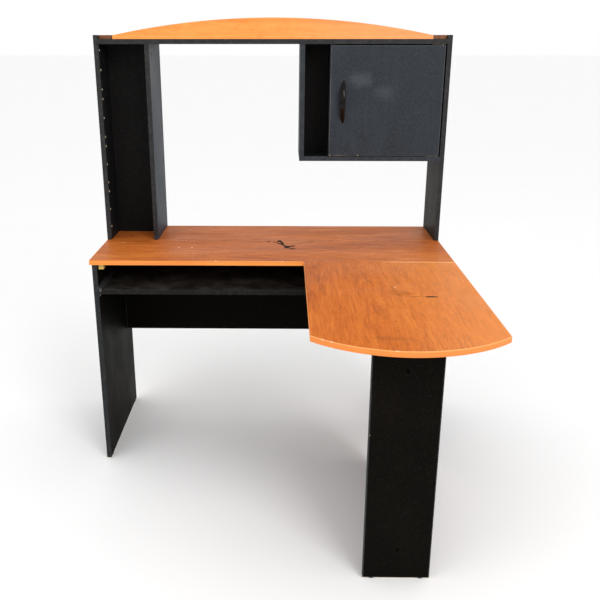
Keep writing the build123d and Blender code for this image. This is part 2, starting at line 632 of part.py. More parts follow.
def build_catch():
    """Magnetic catch on the divider and its strike on the door."""
    z = 1380.0
    face = DIVIDER_X + BOARD
    d_front = HUTCH_DEPTH - BOARD - 2.0
    body = slab(face, face + 13, d_front - 40, d_front, z - 8, z + 8)
    body = chamfer(body.faces().sort_by(Axis.X)[-1].edges(), 1.0)
    magnet = slab(face + 3.5, face + 9.5, d_front - 12, d_front + 0.6, z - 6, z + 6)
    body -= magnet
    screw = pan_screw((face + 13, d_front - 26, z), (-1, 0, 0), 1.6, 24.0)
    room = offset(screw, 0.06)
    body -= room
    bore(["cabinet_divider"], room)
    add("catch_body", body)
    add("catch_magnet", magnet)
    add("catch_screws", screw)
    rear = HUTCH_DEPTH - BOARD
    plate = slab(face + 0.5, face + 13, rear - 1.0, rear, z - 14, z + 14)
    screw = flat_screw((face + 6.5, rear - 1.0, z + 10), (0, -1, 0), 1.4, 12.0)
    room = offset(screw, 0.05)
    plate -= room
    bore(["cabinet_door"], room)
    add("catch_strike", plate)
    add("door_plate_screws", screw)


# ---------------------------------------------------------------- output
def apply_cuts():
    """Bore every board for its own fasteners."""
    for name, tools in cut_tools.items():
        trimmed = []
        for solid in nodes[name]:
            box = solid.bounding_box()
            near = [tool for tool in tools if touches(box, tool.bounding_box())]
            cut = solid - near if near else solid
            trimmed.extend(cut.solids())
        nodes[name] = trimmed


def touches(a, b):
    """True when two bounding boxes overlap."""
    return all(getattr(a.min, k) < getattr(b.max, k) and getattr(b.min, k) < getattr(a.max, k)
               for k in ("X", "Y", "Z"))


def write_nodes():
    os.makedirs("parts", exist_ok=True)
    for name, solids in sorted(nodes.items()):
        shape = solids[0] if len(solids) == 1 else Compound(children=list(solids))
        export_step(shape, os.path.join("parts", name + ".step"))
        print(f"{name:26s} solids {len(solids):3d}  volume {shape.volume / 1000:10.2f} cm3")


build_tops()
build_base()
build_glides()
build_blocks()
build_mending_plates()
build_hutch()
build_hutch_joints()
build_crown()
build_tray()
build_door()
apply_cuts()
write_nodes()
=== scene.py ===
"""Looks for a corner computer desk: laminated boards, edge bands, slides, door and fittings."""
import json
import logging
import math
from dataclasses import dataclass, field, replace
from enum import Enum
from typing import Any, Callable, Iterable, Optional, Sequence

import bmesh
import bpy
from mathutils import Matrix, Vector


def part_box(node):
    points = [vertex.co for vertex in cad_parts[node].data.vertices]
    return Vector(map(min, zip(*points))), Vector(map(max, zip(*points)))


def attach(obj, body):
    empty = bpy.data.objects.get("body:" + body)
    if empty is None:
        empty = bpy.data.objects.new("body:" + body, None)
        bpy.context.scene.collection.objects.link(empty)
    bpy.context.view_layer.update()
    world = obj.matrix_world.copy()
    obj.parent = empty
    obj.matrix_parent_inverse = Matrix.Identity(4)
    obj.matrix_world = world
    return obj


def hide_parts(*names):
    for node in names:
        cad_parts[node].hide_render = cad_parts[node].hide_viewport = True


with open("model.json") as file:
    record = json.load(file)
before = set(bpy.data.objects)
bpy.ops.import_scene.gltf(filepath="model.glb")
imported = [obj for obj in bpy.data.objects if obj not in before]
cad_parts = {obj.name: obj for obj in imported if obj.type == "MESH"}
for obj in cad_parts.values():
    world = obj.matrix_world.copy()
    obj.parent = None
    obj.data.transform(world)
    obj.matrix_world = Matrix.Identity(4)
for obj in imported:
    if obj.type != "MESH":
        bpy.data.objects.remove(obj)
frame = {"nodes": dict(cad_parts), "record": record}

LOG = logging.getLogger("desk")
BAND = 0.001  # thickness of an edge band
SKIN = 0.00075  # melamine over the chip core
TOP_FACE = 0.74  # height of the working surface
CAM_HOLE = (0.00756, 0.0127)  # radius and depth
PIN_HOLE_DEPTH = 0.01
PIN_CHIP_SPREAD = 1.35  # chipped mouth against the drilled radius
PIN_CHIP_DEPTH = 0.0014
TORN_RIM = (0.0034, 0.0072, 0.0052)  # radii of the pale rim round a pin hole
BAND_ARRIS = 0.00045
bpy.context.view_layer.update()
Colour = tuple[float, float, float]
Corner = tuple[Vector, Vector]
Socket = bpy.types.NodeSocket
BMesh = bmesh.types.BMesh


class Way(Enum):
    """A world axis."""

    X = 0
    Y = 1
    Z = 2

    def unit(self, sign: float = 1.0) -> Vector:
        """Unit vector along this axis."""
        step = Vector((0.0, 0.0, 0.0))
        step[self.value] = sign
        return step


class Drive(Enum):
    """Recess cut in a screw head."""

    CROSS = "cross"
    HEX = "hex"


def shade(red: int, green: int, blue: int) -> Colour:
    """Linear colour from eight-bit display values.

    Args:
        red: Red, 0 to 255.
        green: Green, 0 to 255.
        blue: Blue, 0 to 255.

    Returns:
        The same colour in linear light.
    """
    def lift(value: int) -> float:
        """One channel."""
        part = value / 255.0
        return part / 12.92 if part <= 0.04045 else ((part + 0.055) / 1.055) ** 2.4
    return lift(red), lift(green), lift(blue)


def thinnest(low: Sequence[float], high: Sequence[float]) -> int:
    """Index of the axis along which a box is thinnest."""
    return min(range(3), key=lambda i: high[i] - low[i])


# ------------------------------------------------------------------ node materials
class Paint:
    """One procedural material while its nodes are being laid."""

    def __init__(self, name: str) -> None:
        """Start an empty material with a Principled shader.

        Args:
            name: Name of the material.
        """
        self.material = bpy.data.materials.new(name)
        self.material.use_nodes = True
        self.tree = self.material.node_tree
        self.tree.nodes.clear()
        out = self.put("ShaderNodeOutputMaterial")
        self.body = self.put("ShaderNodeBsdfPrincipled")
        self.tree.links.new(self.body.outputs[0], out.inputs[0])
        self.place = self.put("ShaderNodeTexCoord").outputs["Object"]

    def put(self, kind: str, **options: Any) -> bpy.types.Node:
        """Add a node and set its plain properties.

        Args:
            kind: Node type.
            **options: Properties of the node.

        Returns:
            The new node.
        """
        node = self.tree.nodes.new(kind)
        for key, value in options.items():
            setattr(node, key, value)
        return node

    def feed(self, socket: Socket, value: Any) -> None:
        """Link a socket or set its constant.

        Args:
            socket: Input socket.
            value: Another socket, a number, or a colour of three parts.
        """
        if isinstance(value, Socket):
            self.tree.links.new(value, socket)
        elif isinstance(value, (tuple, list, Vector)) and socket.type == "RGBA":
            socket.default_value = (*value, 1.0)
        else:
            socket.default_value = value

    def fill(self, node: bpy.types.Node, **inputs: Any) -> Socket:
        """Feed a node's inputs by name.

        Args:
            node: Node to fill.
            **inputs: Input names with underscores for spaces.

        Returns:
            The node's first output.
        """
        for key, value in inputs.items():
            self.feed(node.inputs[key.replace("_", " ")], value)
        return node.outputs[0]

    def set(self, **inputs: Any) -> None:
        """Feed the shader's own inputs."""
        self.fill(self.body, **inputs)

    def math(self, operation: str, first: Any, second: Any = 0.5, third: Any = 0.5) -> Socket:
        """Add a Math node.

        Args:
            operation: Blender's name of the operation.
            first: First input.
            second: Second input.
            third: Third input.

        Returns:
            The result socket.
        """
        node = self.put("ShaderNodeMath", operation=operation)
        for socket, value in zip(node.inputs, (first, second, third)):
            self.feed(socket, value)
        return node.outputs[0]

    def moved(self, scale: Sequence[float], offset: Sequence[float] = (0, 0, 0),
              turn: Sequence[float] = (0, 0, 0), at: Any = None) -> Socket:
        """Scale, turn and shift the object's own coordinates.

        Args:
            scale: Scale along X, Y and Z.
            offset: Shift after scaling.
            turn: Rotation in radians.
            at: Coordinates to start from.

        Returns:
            The mapped vector.
        """
        return self.fill(self.put("ShaderNodeMapping"), Vector=at or self.place, Scale=scale,
                         Location=offset, Rotation=turn)

    def noise(self, at: Any, scale: float = 1.0, detail: float = 3.0, rough: float = 0.55,
              twist: float = 0.0) -> Socket:
        """Fractal noise factor.

        Args:
            at: Coordinates.
            scale: Cells per unit.
            detail: Octaves.
            rough: Weight of the finer octaves.
            twist: Distortion.

        Returns:
            The factor socket.
        """
        return self.fill(self.put("ShaderNodeTexNoise"), Vector=at, Scale=scale, Detail=detail,
                         Roughness=rough, Distortion=twist)

    def cells(self, at: Any, scale: float) -> Socket:
        """Distance to the nearest Voronoi point."""
        return self.fill(self.put("ShaderNodeTexVoronoi"), Vector=at, Scale=scale)

    def span(self, value: Any, low: float, high: float, to_low: float = 0.0,
             to_high: float = 1.0) -> Socket:
        """Smooth step of a value between two limits.

        Args:
            value: Input socket.
            low: Where the result is to_low.
            high: Where the result is to_high.
            to_low: Result at low.
            to_high: Result at high.

        Returns:
            The remapped value.
        """
        node = self.put("ShaderNodeMapRange", interpolation_type="SMOOTHSTEP")
        for socket, item in zip(node.inputs, (value, low, high, to_low, to_high)):
            self.feed(socket, item)
        return node.outputs[0]

    def mix(self, factor: Any, first: Any, second: Any) -> Socket:
        """Blend two colours.

        Args:
            factor: Share of the second colour.
            first: First colour.
            second: Second colour.

        Returns:
            The colour socket.
        """
        node = self.put("ShaderNodeMix", data_type="RGBA", blend_type="MIX")
        for index, value in ((0, factor), (6, first), (7, second)):
            self.feed(node.inputs[index], value)
        return node.outputs[2]

    def ramp(self, factor: Any, stops: Sequence[tuple[float, Colour]]) -> Socket:
        """Colour ramp.

        Args:
            factor: Input value.
            stops: Positions with their colours.

        Returns:
            The colour socket.
        """
        node = self.put("ShaderNodeValToRGB")
        bar = node.color_ramp
        while len(bar.elements) < len(stops):
            bar.elements.new(0.5)
        for element, (where, colour) in zip(bar.elements, stops):
            element.position = where
            element.color = (*colour, 1.0)
        self.feed(node.inputs[0], factor)
        return node.outputs[0]

    def relief(self, height: Any, strength: float, depth: float, under: Any = None) -> Socket:
        """Bump from a height.

        Args:
            height: Height socket.
            strength: Share of the effect.
            depth: Height of the relief in metres.
            under: Normal of a relief below this one.

        Returns:
            The normal socket.
        """
        node = self.put("ShaderNodeBump")
        if under is not None:
            self.feed(node.inputs["Normal"], under)
        return self.fill(node, Strength=strength, Distance=depth, Height=height)

    def axis(self, way: Way) -> Socket:
        """One coordinate of the object's own space."""
        return self._part(self.place, way)

    def facing(self, way: Way) -> Socket:
        """Signed share of the surface normal along an axis."""
        return self._part(self.put("ShaderNodeTexCoord").outputs["Normal"], way)

    def _part(self, vector: Socket, way: Way) -> Socket:
        """One component of a vector socket."""
        node = self.put("ShaderNodeSeparateXYZ")
        self.feed(node.inputs[0], vector)
        return node.outputs[way.value]

    def near(self, centre: Sequence[float], size: Sequence[float], turn: float = 0.0) -> Socket:
        """Distance from a point in units of an ellipsoid's radii.

        Args:
            centre: Centre of the ellipsoid.
            size: Its radii.
            turn: Angle about Z in radians.

        Returns:
            Zero at the centre and one on the ellipsoid.
        """
        shifted = self.moved((1, 1, 1), tuple(-c for c in centre))
        turned = self.moved((1, 1, 1), (0, 0, 0), (0, 0, -turn), shifted)
        scaled = self.moved(tuple(1.0 / s for s in size), (0, 0, 0), (0, 0, 0), turned)
        node = self.put("ShaderNodeVectorMath", operation="LENGTH")
        self.feed(node.inputs[0], scaled)
        return node.outputs["Value"]


@dataclass(frozen=True)
class Scuff:
    """A worn mark on a top: where it is, its size and its angle about Z."""

    centre: tuple[float, float]
    size: tuple[float, float]
    turn: float = 0.0
    share: float = 1.0
    tone: Colour = shade(42, 32, 26)


@dataclass(frozen=True)
class Smear:
    """A wiped patch on a black board: where it is, its radii and its strength."""

    centre: tuple[float, float, float]
    size: tuple[float, float, float]
    share: float
    tone: Colour = shade(96, 106, 114)


@dataclass(frozen=True)
class ChipCore:
    """Raw particle board seen at unbanded edges and in drilled holes."""

    light: Colour = shade(208, 176, 130)
    dark: Colour = shade(146, 112, 74)

    def colour(self, paint: Paint) -> Socket:
        """Flaky wood-chip colour."""
        flakes = paint.cells(paint.place, 420.0)
        dust = paint.noise(paint.place, 900.0, 3.0)
        factor = paint.math("MULTIPLY_ADD", flakes, 0.9, dust)
        return paint.ramp(factor, [(0.35, self.dark), (0.62, self.light),
                                   (0.95, shade(236, 214, 176))])

    def cover(self, paint: Paint, top: Any, way: Way, low: float, high: float) -> Socket:
        """Lay a skin over the core, so that cut faces and holes show chips.

        Args:
            paint: Material being built.
            top: Colour of the skin.
            way: Axis through the board's thickness.
            low: Lower face along that axis.
            high: Upper face along that axis.

        Returns:
            The combined colour.
        """
        middle = paint.math("SUBTRACT", paint.axis(way), (low + high) / 2)
        reach = paint.math("ABSOLUTE", middle)
        skin = paint.math("GREATER_THAN", reach, (high - low) / 2 - SKIN)
        return paint.mix(skin, self.colour(paint), top)


@dataclass(frozen=True)
class CherryTop:
    """Printed cherry melamine on the working tops."""

    name: str
    grain: Way = Way.X
    light: Colour = shade(206, 124, 66)
    mid: Colour = shade(182, 98, 49)
    dark: Colour = shade(138, 66, 33)
    rough: float = 0.42
    tilt: float = 0.0
    scuffs: tuple[Scuff, ...] = ()
    chips: tuple[tuple[float, float], ...] = ()
    # Painted light on the leaf: a highlight line at the joint and a lighter right end.
    painted_leaf_light: bool = False

    def make(self, low: Vector, high: Vector) -> bpy.types.Material:
        """Build the material for a flat board.

        Args:
            low: Lowest corner of the board.
            high: Highest corner of the board.

        Returns:
            The material.
        """
        p = Paint(self.name)
        along = self.grain is Way.X
        def grainy(run: float, cross: float, shift: float = 0.0) -> Socket:
            """Coordinates stretched along the grain."""
            scale = (run, cross, cross) if along else (cross, run, cross)
            return p.moved(scale, (shift, shift * 0.7, 0), (0, 0, self.tilt))
        broad = p.noise(grainy(1.1, 7.0), 1.0, 3.0, 0.5, 0.7)
        rings = p.math("SINE", p.math("MULTIPLY", broad, 120.0))
        mottle = p.noise(grainy(8.0, 62.0, 3.0), 1.0, 4.0, 0.62, 0.4)
        fine = p.noise(grainy(13.0, 240.0, 7.0), 1.0, 3.0, 0.65)
        speckle = p.noise(p.moved((190, 190, 190), (6, 1, 0)), 1.0, 2.0, 0.6)
        tone = p.math("MULTIPLY_ADD", broad, 0.22, p.math("MULTIPLY", mottle, 0.27))
        tone = p.math("MULTIPLY_ADD", fine, 0.29, tone)
        tone = p.math("MULTIPLY_ADD", speckle, 0.18, tone)
        colour = p.ramp(tone, [(0.365, self.dark), (0.475, self.mid), (0.595, self.light)])
        flame = p.noise(grainy(2.0, 6.5, 11.0), 1.0, 4.0, 0.6, 0.9)
        colour = p.mix(p.span(flame, 0.50, 0.70, 0.0, 0.22), colour, self.dark)
        lines = p.math("MULTIPLY", p.span(rings, 0.80, 1.0), p.span(flame, 0.44, 0.60))
        colour = p.mix(p.math("MULTIPLY", lines, 0.40), colour, shade(118, 54, 22))
        pores = p.span(p.noise(grainy(60.0, 900.0, 5.0), 1.0, 2.0), 0.60, 0.72)
        colour = p.mix(p.math("MULTIPLY", pores, 0.30), colour, shade(96, 42, 18))
        wiped = p.noise(p.moved((3, 9, 3), (2, 5, 0), (0, 0, 0.5)), 1.0, 4.0, 0.6)
        colour = p.mix(p.span(wiped, 0.55, 0.85, 0.0, 0.10), colour, shade(220, 160, 104))
        if self.painted_leaf_light:
            # Thin pale line along the joint with the main top: painted highlight where light
            # catches the step.
            joint_highlight = p.span(p.axis(Way.Y), high.y - 0.0100, high.y - 0.0070)
            reach = p.span(p.axis(Way.X), 0.34, 0.42, 0.0, 0.9)
            colour = p.mix(p.math("MULTIPLY", joint_highlight, reach), colour, shade(255, 190, 130))
            # Lighter towards the right end of the leaf: painted light.
            lit_to_right = p.span(p.axis(Way.X), 0.26, 0.60, 0.0, 0.42)
            colour = p.mix(lit_to_right, colour, shade(250, 160, 84))
        rough = p.span(wiped, 0.3, 0.8, self.rough, self.rough + 0.16)
        colour, rough = self._wear(p, colour, rough)
        mesh = p.noise(p.place, 1900.0, 2.0)
        normal = p.relief(mesh, 0.10, 0.0002, p.relief(fine, 0.12, 0.0002))
        colour = ChipCore().cover(p, colour, Way.Z, low.z, high.z)
        p.set(Base_Color=colour, Roughness=rough, Normal=normal, IOR=1.5,
              Specular_IOR_Level=0.10)
        return p.material

    def _wear(self, p: Paint, colour: Any, rough: Any) -> tuple[Any, Any]:
        """Scratches through the print and small pale chips.

        Args:
            p: Material being built.
            colour: Colour so far.
            rough: Roughness so far.

        Returns:
            The worn colour and roughness.
        """
        torn = p.noise(p.moved((150, 150, 150)), 1.0, 4.0, 0.7, 1.0)
        rag = p.noise(p.moved((500, 500, 500)), 1.0, 2.0)
        for item in self.scuffs:
            gap = p.near((*item.centre, TOP_FACE), (*item.size, 0.02), item.turn)
            edge = p.math("MULTIPLY_ADD", torn, 0.5, gap)
            mark = p.span(edge, 0.95, 1.3, item.share, 0.0)
            colour = p.mix(mark, colour, item.tone)
            rough = p.math("ADD", rough, p.math("MULTIPLY", mark, 0.35))
        for x, y in self.chips:
            gap = p.near((x, y, TOP_FACE), (0.0042, 0.0060, 0.01), x * 9)
            mark = p.span(p.math("MULTIPLY_ADD", rag, 0.9, gap), 1.0, 1.25, 1.0, 0.0)
            colour = p.mix(mark, colour, shade(236, 205, 168))
        return colour, rough


@dataclass(frozen=True)
class CherryBoard:
    """Light cherry laminate of the crown board."""

    name: str = "cherry_board"
    light: Colour = shade(238, 156, 78)
    dark: Colour = shade(220, 126, 58)

    def make(self) -> bpy.types.Material:
        """Build the material."""
        p = Paint(self.name)
        streak = p.noise(p.moved((1.6, 30, 42), (4, 0, 2)), 1.0, 4.0, 0.6, 0.3)
        broad = p.noise(p.moved((0.9, 4, 5), (1, 0, 7)), 1.0, 2.0, 0.5, 0.5)
        fine = p.noise(p.moved((10, 400, 460)), 1.0, 2.0)
        tone = p.math("MULTIPLY_ADD", broad, 0.5, p.math("MULTIPLY", streak, 0.5))
        colour = p.ramp(tone, [(0.40, self.dark), (0.58, self.light)])
        mottle = p.noise(p.moved((30, 60, 110), (3, 3, 3)), 1.0, 4.0, 0.7)
        colour = p.mix(p.span(mottle, 0.45, 0.7, 0.0, 0.38), colour, shade(214, 112, 48))
        colour = p.mix(p.span(fine, 0.55, 0.8, 0.0, 0.22), colour, shade(176, 92, 42))
        # Paler towards the right end of the crown board: painted light.
        colour = p.mix(p.span(p.axis(Way.X), -0.1, 0.5, 0.0, 0.42), colour, shade(236, 168, 122))
        p.set(Base_Color=colour, Roughness=p.span(fine, 0.2, 0.8, 0.32, 0.44),
              Normal=p.relief(fine, 0.1, 0.0002), Specular_IOR_Level=0.15)
        return p.material


@dataclass(frozen=True)
class CherryBand:
    """Orange cherry edge band, worn pale at a few knocks, with painted shade on the bow and a
    painted highlight along its top.
    """

    name: str = "cherry_band"
    light: Colour = shade(240, 152, 72)
    dark: Colour = shade(224, 130, 56)
    knocks: float = 0.74
    chips: tuple[tuple[float, float], ...] = (
        (0.136, -0.5556), (0.157, -0.5704), (0.307, -0.626), (-0.182, 0.129),
        (0.036, 0.129))

    def make(self) -> bpy.types.Material:
        """Build the material."""
        p = Paint(self.name)
        streak = p.noise(p.moved((2.0, 2.0, 190.0), (0, 0, 3)), 1.0, 3.0, 0.6)
        broad = p.noise(p.moved((3, 3, 8)), 1.0, 2.0)
        tone = p.math("MULTIPLY_ADD", streak, 0.7, p.math("MULTIPLY", broad, 0.3))
        colour = p.ramp(tone, [(0.36, self.dark), (0.62, self.light)])
        knock = p.noise(p.moved((46, 46, 120), (9, 2, 5)), 1.0, 2.0, 0.5)
        rim = p.math("ABSOLUTE", p.math("SUBTRACT", p.axis(Way.Z), TOP_FACE - 0.008))
        at_rim = p.span(rim, 0.0055, 0.0078)
        bow = p.span(p.axis(Way.Y), -0.50, -0.40, 1.0, 0.0)
        # Darker on the bowed band than on the straight bands: painted shade.
        colour = p.mix(p.math("MULTIPLY", bow, 0.5), colour, shade(222, 122, 58))
        # Paler line along the top of the band, strongest on the bow: painted highlight.
        upper = p.math("MULTIPLY", p.span(p.axis(Way.Z), 0.7366, 0.7392),
                       p.math("MULTIPLY_ADD", bow, 0.40, 0.06))
        colour = p.mix(upper, colour, shade(255, 196, 128))
        worn = p.math("MULTIPLY", p.span(knock, self.knocks, self.knocks + 0.04), at_rim)
        for x, y in self.chips:
            spot = p.near((x, y, 0.741), (0.0055, 0.0055, 0.0036))
            worn = p.math("MAXIMUM", worn, p.span(spot, 0.6, 1.0, 0.8, 0.0))
        colour = p.mix(worn, colour, shade(246, 222, 190))
        fine = p.noise(p.place, 1600.0, 2.0)
        p.set(Base_Color=colour, Roughness=p.span(broad, 0.3, 0.7, 0.3, 0.42),
              Normal=p.relief(fine, 0.06, 0.0002), Specular_IOR_Level=0.2)
        return p.material


@dataclass(frozen=True)
class BlackBoard:
    """Black melamine with a fine pebble, dust and rubbed patches."""

    name: str
    tone: Colour = shade(27, 28, 31)
    rubbed: Colour = shade(52, 54, 58)
    rough: float = 0.46
    gloss: float = 0.5
    dust: float = 0.0
    wear: float = 0.5
    rims: float = 0.55
    smears: tuple[Smear, ...] = ()

    def make(self, low: Vector, high: Vector) -> bpy.types.Material:
        """Build the material for one board.

        Args:
            low: Lowest corner of the board.
            high: Highest corner of the board.

        Returns:
            The material.
        """
        p = Paint(self.name)
        pebble = p.noise(p.place, 1300.0, 2.0, 0.6)
        grain = p.noise(p.moved((90, 90, 9)), 1.0, 3.0, 0.65)
        wipe = p.noise(p.moved((5, 5, 3), (3, 1, 8), (0.3, 0.2, 0.4)), 1.0, 5.0, 0.62, 0.6)
        colour = p.mix(p.span(wipe, 0.42, 0.78, 0.0, self.wear), self.tone, self.rubbed)
        colour = p.mix(p.span(grain, 0.35, 0.75, 0.0, 0.25), colour, shade(15, 15, 17))
        speckle = p.noise(p.moved((1, 1, 1), (9, 4, 2)), 240.0, 3.0, 0.7)
        colour = p.mix(p.span(speckle, 0.50, 0.68, 0.0, 0.65), colour, self.rubbed)
        colour = p.mix(p.span(speckle, 0.34, 0.48, 0.5, 0.0), colour,
                       tuple(0.35 * c for c in self.tone))
        specks = p.span(p.noise(p.moved((1, 1, 1), (5, 5, 5)), 240.0, 2.0), 0.735, 0.78)
        colour = p.mix(p.math("MULTIPLY", specks, 0.35), colour, shade(128, 124, 118))
        if self.dust:
            lint = p.noise(p.moved((16, 16, 16), (2, 4, 1)), 1.0, 5.0, 0.7, 0.4)
            settled = p.math("MULTIPLY", p.span(lint, 0.3, 0.75),
                             p.span(p.facing(Way.Z), 0.6, 0.9))
            colour = p.mix(p.math("MULTIPLY", settled, self.dust), colour, shade(122, 118, 112))
        haze = p.noise(p.moved((34, 34, 34), (1, 6, 2)), 1.0, 4.0, 0.65, 0.6)
        for smear in self.smears:
            gap = p.math("MULTIPLY_ADD", haze, 0.9, p.near(smear.centre, smear.size))
            colour = p.mix(p.span(gap, 0.55, 1.5, smear.share, 0.0), colour, smear.tone)
        if self.rims:
            colour = p.mix(self._rims(p, low, high), colour, shade(96, 96, 98))
        thin = thinnest(low, high)
        colour = ChipCore().cover(p, colour, Way(thin), low[thin], high[thin])
        rough = p.span(wipe, 0.3, 0.8, self.rough, self.rough + 0.14)
        normal = p.relief(grain, 0.12, 0.0003, p.relief(pebble, 0.22, 0.00025))
        p.set(Base_Color=colour, Roughness=rough, Normal=normal, IOR=1.5,
              Specular_IOR_Level=self.gloss)
        return p.material

    def _rims(self, p: Paint, low: Vector, high: Vector) -> Socket:
        """Paler rubbing close to the board's outer rims.

        Args:
            p: Material being built.
            low: Lowest corner of the board.
            high: Highest corner of the board.

        Returns:
            Share of rubbed surface.
        """
        closest: Any = None
        thin = thinnest(low, high)
        for way in Way:
            if way.value == thin:
                continue
            centre = (low[way.value] + high[way.value]) / 2
            half = (high[way.value] - low[way.value]) / 2
            gap = p.math("SUBTRACT", half, p.math("ABSOLUTE", p.math(
                "SUBTRACT", p.axis(way), centre)))
            closest = gap if closest is None else p.math("MINIMUM", closest, gap)
        ragged = p.noise(p.moved((60, 60, 60), (1, 2, 3)), 1.0, 4.0, 0.7)
        band = p.math("MULTIPLY", ragged, 0.0032)
        near_rim = p.span(p.math("SUBTRACT", closest, band), -0.0012, 0.0004, 1.0, 0.0)
        return p.math("MULTIPLY", near_rim, self.rims)


@dataclass(frozen=True)
class Coat:
    """A plain metal or moulded finish with fine relief and wear."""

    name: str
    tone: Colour
    second: Colour
    metal: float = 0.0
    rough: float = 0.4
    grain: Sequence[float] = (1.0, 1.0, 1.0)
    scale: float = 800.0
    relief: float = 0.1
    coat: float = 0.0
    gloss: float = 0.5

    def make(self) -> bpy.types.Material:
        """Build the material."""
        p = Paint(self.name)
        fine = p.noise(p.moved(self.grain), self.scale, 3.0, 0.6)
        broad = p.noise(p.moved((1, 1, 1), (2, 3, 4)), 70.0, 3.0, 0.6)
        colour = p.mix(p.span(broad, 0.4, 0.75), self.tone, self.second)
        rough = p.math("MULTIPLY_ADD", fine, 0.16, self.rough - 0.06)
        p.set(Base_Color=colour, Roughness=rough, Metallic=self.metal,
              Normal=p.relief(fine, self.relief, 0.0002), Specular_IOR_Level=self.gloss,
              Coat_Weight=self.coat, Coat_Roughness=0.08)
        return p.material


SLIDE_STEEL = Coat("slide_steel", shade(62, 64, 68), shade(88, 90, 92), 0.35, 0.42,
                   scale=500.0)
ZINC = Coat("zinc_plate", shade(188, 188, 182), shade(150, 148, 140), 1.0, 0.32,
            (1, 1, 6), 420.0, 0.08)
NYLON = Coat("white_nylon", shade(124, 121, 114), shade(88, 86, 80), 0.0, 0.38,
             scale=600.0)
IVORY = Coat("ivory_block", shade(240, 205, 112), shade(222, 182, 88), 0.0, 0.42,
             scale=500.0)
DOWEL = Coat("beech_dowel", shade(206, 170, 120), shade(180, 140, 92), 0.0, 0.7,
             (1, 1, 0.1), 700.0, 0.3)
HINGE_STEEL = Coat("hinge_steel", shade(112, 104, 92), shade(70, 66, 60), 0.6, 0.5, scale=500.0)
LACQUER = Coat("bronze_lacquer", shade(12, 8, 6), shade(24, 15, 10), 0.0, 0.24,
               scale=300.0, relief=0.03, coat=0.22, gloss=0.04)
SCREW_GREY = Coat("screw_grey", shade(70, 72, 73), shade(44, 44, 44), 0.0, 0.5, scale=420.0,
                  gloss=0.2)
CAM_BLACK = Coat("cam_black", shade(15, 15, 16), shade(26, 26, 28), 0.2, 0.5, scale=420.0,
                 gloss=0.1)
MOULDED = Coat("moulded_black", shade(24, 24, 26), shade(36, 36, 38), 0.0, 0.5, scale=900.0)
MAGNET = Coat("sintered_magnet", shade(58, 58, 62), shade(82, 82, 86), 0.3, 0.6, scale=700.0)
BLACK_BAND = Coat("black_band", shade(39, 39, 40), shade(52, 52, 53), 0.0, 0.4,
                  (1, 1, 0.2), 300.0, 0.08, gloss=0.15)
# Cabinet bands: bluer and paler than the other black bands, a painted reflection.
CABINET_REFLECTION_BAND = Coat("cabinet_reflection_band", shade(42, 46, 51), shade(56, 60, 66), 0.0, 0.4,
                    (1, 1, 0.2), 300.0, 0.08, gloss=0.18)
BASE_BAND = Coat("base_band", shade(35, 37, 38), shade(50, 51, 51), 0.0, 0.46,
                 (1, 1, 0.2), 300.0, 0.08, gloss=0.12)
TRAY_BAND = Coat("tray_band", shade(23, 23, 20), shade(38, 37, 33), 0.0, 0.46,
                 (0.2, 1, 1), 300.0, 0.08, gloss=0.08)
# Dark brown of the crown cleat: partly its own colour, partly painted shade behind the crown
# board.
BROWN = Coat("brown_board", shade(120, 74, 46), shade(146, 98, 66), 0.0, 0.45,
             (1, 20, 40), 12.0, 0.1, gloss=0.2)


# ------------------------------------------------------------------ shared workshop
def placed(name: str, data: Any) -> bpy.types.Object:
    """Put a mesh, lamp or camera into the scene."""
    thing = bpy.data.objects.new(name, data)
    bpy.context.scene.collection.objects.link(thing)
    return thing


def mesh_of(name: str, bm: BMesh) -> bpy.types.Mesh:
    """Mesh made from a bmesh, which is freed.

    Args:
        name: Name of the mesh.
        bm: Mesh data; its faces are turned outwards first.

    Returns:
        The mesh.
    """
    bmesh.ops.recalc_face_normals(bm, faces=bm.faces)
    mesh = bpy.data.meshes.new(name)
    bm.to_mesh(mesh)
    bm.free()
    return mesh


def bridge(bm: BMesh, first: Sequence[bmesh.types.BMVert],
           second: Sequence[bmesh.types.BMVert]) -> None:
    """Join two closed rings of vertices with quads."""
    count = len(first)
    for k in range(count):
        other = (k + 1) % count
        bm.faces.new((first[k], first[other], second[other], second[k]))


class Shop:
    """Makes objects, hands out materials and signs every piece in."""

    def __init__(self) -> None:
        """Start with nothing made."""
        self.made: dict[str, bpy.types.Material] = {}
        self.log: list[str] = []
        self.slots = {item["node"]: item["material_slot"]
                      for item in frame["record"]["subparts"]}
        bodies = frame["record"]["behaviour"]["bodies"]
        self.body = {node: name for name, nodes in bodies.items() for node in nodes}

    def coat(self, finish: Any) -> bpy.types.Material:
        """Material of a finish that doesn't depend on the piece."""
        if finish.name not in self.made:
            self.made[finish.name] = finish.make()
        return self.made[finish.name]

    def sign(self, name: str, bm: BMesh, material: bpy.types.Material,
             node: str, smooth: Optional[float] = None) -> bpy.types.Object:
        """Turn a bmesh into a piece that stands for a CAD node.

        Args:
            name: Name of the piece.
            bm: Mesh data in the row frame.
            material: Its material.
            node: CAD node that it stands for or rides with.
            smooth: Angle in degrees under which faces shade smoothly.

        Returns:
            The new object.
        """
        mesh = mesh_of(name, bm)
        if smooth is not None:
            mesh.shade_smooth()
            mesh.set_sharp_from_angle(angle=math.radians(smooth))
        mesh.materials.append(material)
        piece = placed(name, mesh)
        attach(piece, self.body[node])
        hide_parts(node)
        self.log.append(name)
        return piece

    def dress(self, node: str, material: bpy.types.Material) -> None:
        """Give a CAD node's own object a material.

        Args:
            node: Node name.
            material: Material for every face.
        """
        thing = frame["nodes"][node]
        while len(thing.material_slots) < 1:
            thing.data.materials.append(None)
        for slot in thing.material_slots:
            slot.link = "OBJECT"
            slot.material = material
        self.log.append(node)

    def report(self, title: str) -> None:
        """Log the pieces made since the last report."""
        LOG.info("%s: %d pieces: %s", title, len(self.log), ", ".join(self.log))
        self.log.clear()


def box_of(node: str) -> Corner:
    """Corners of a CAD node as vectors."""
    low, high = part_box(node)
    return Vector(low), Vector(high)


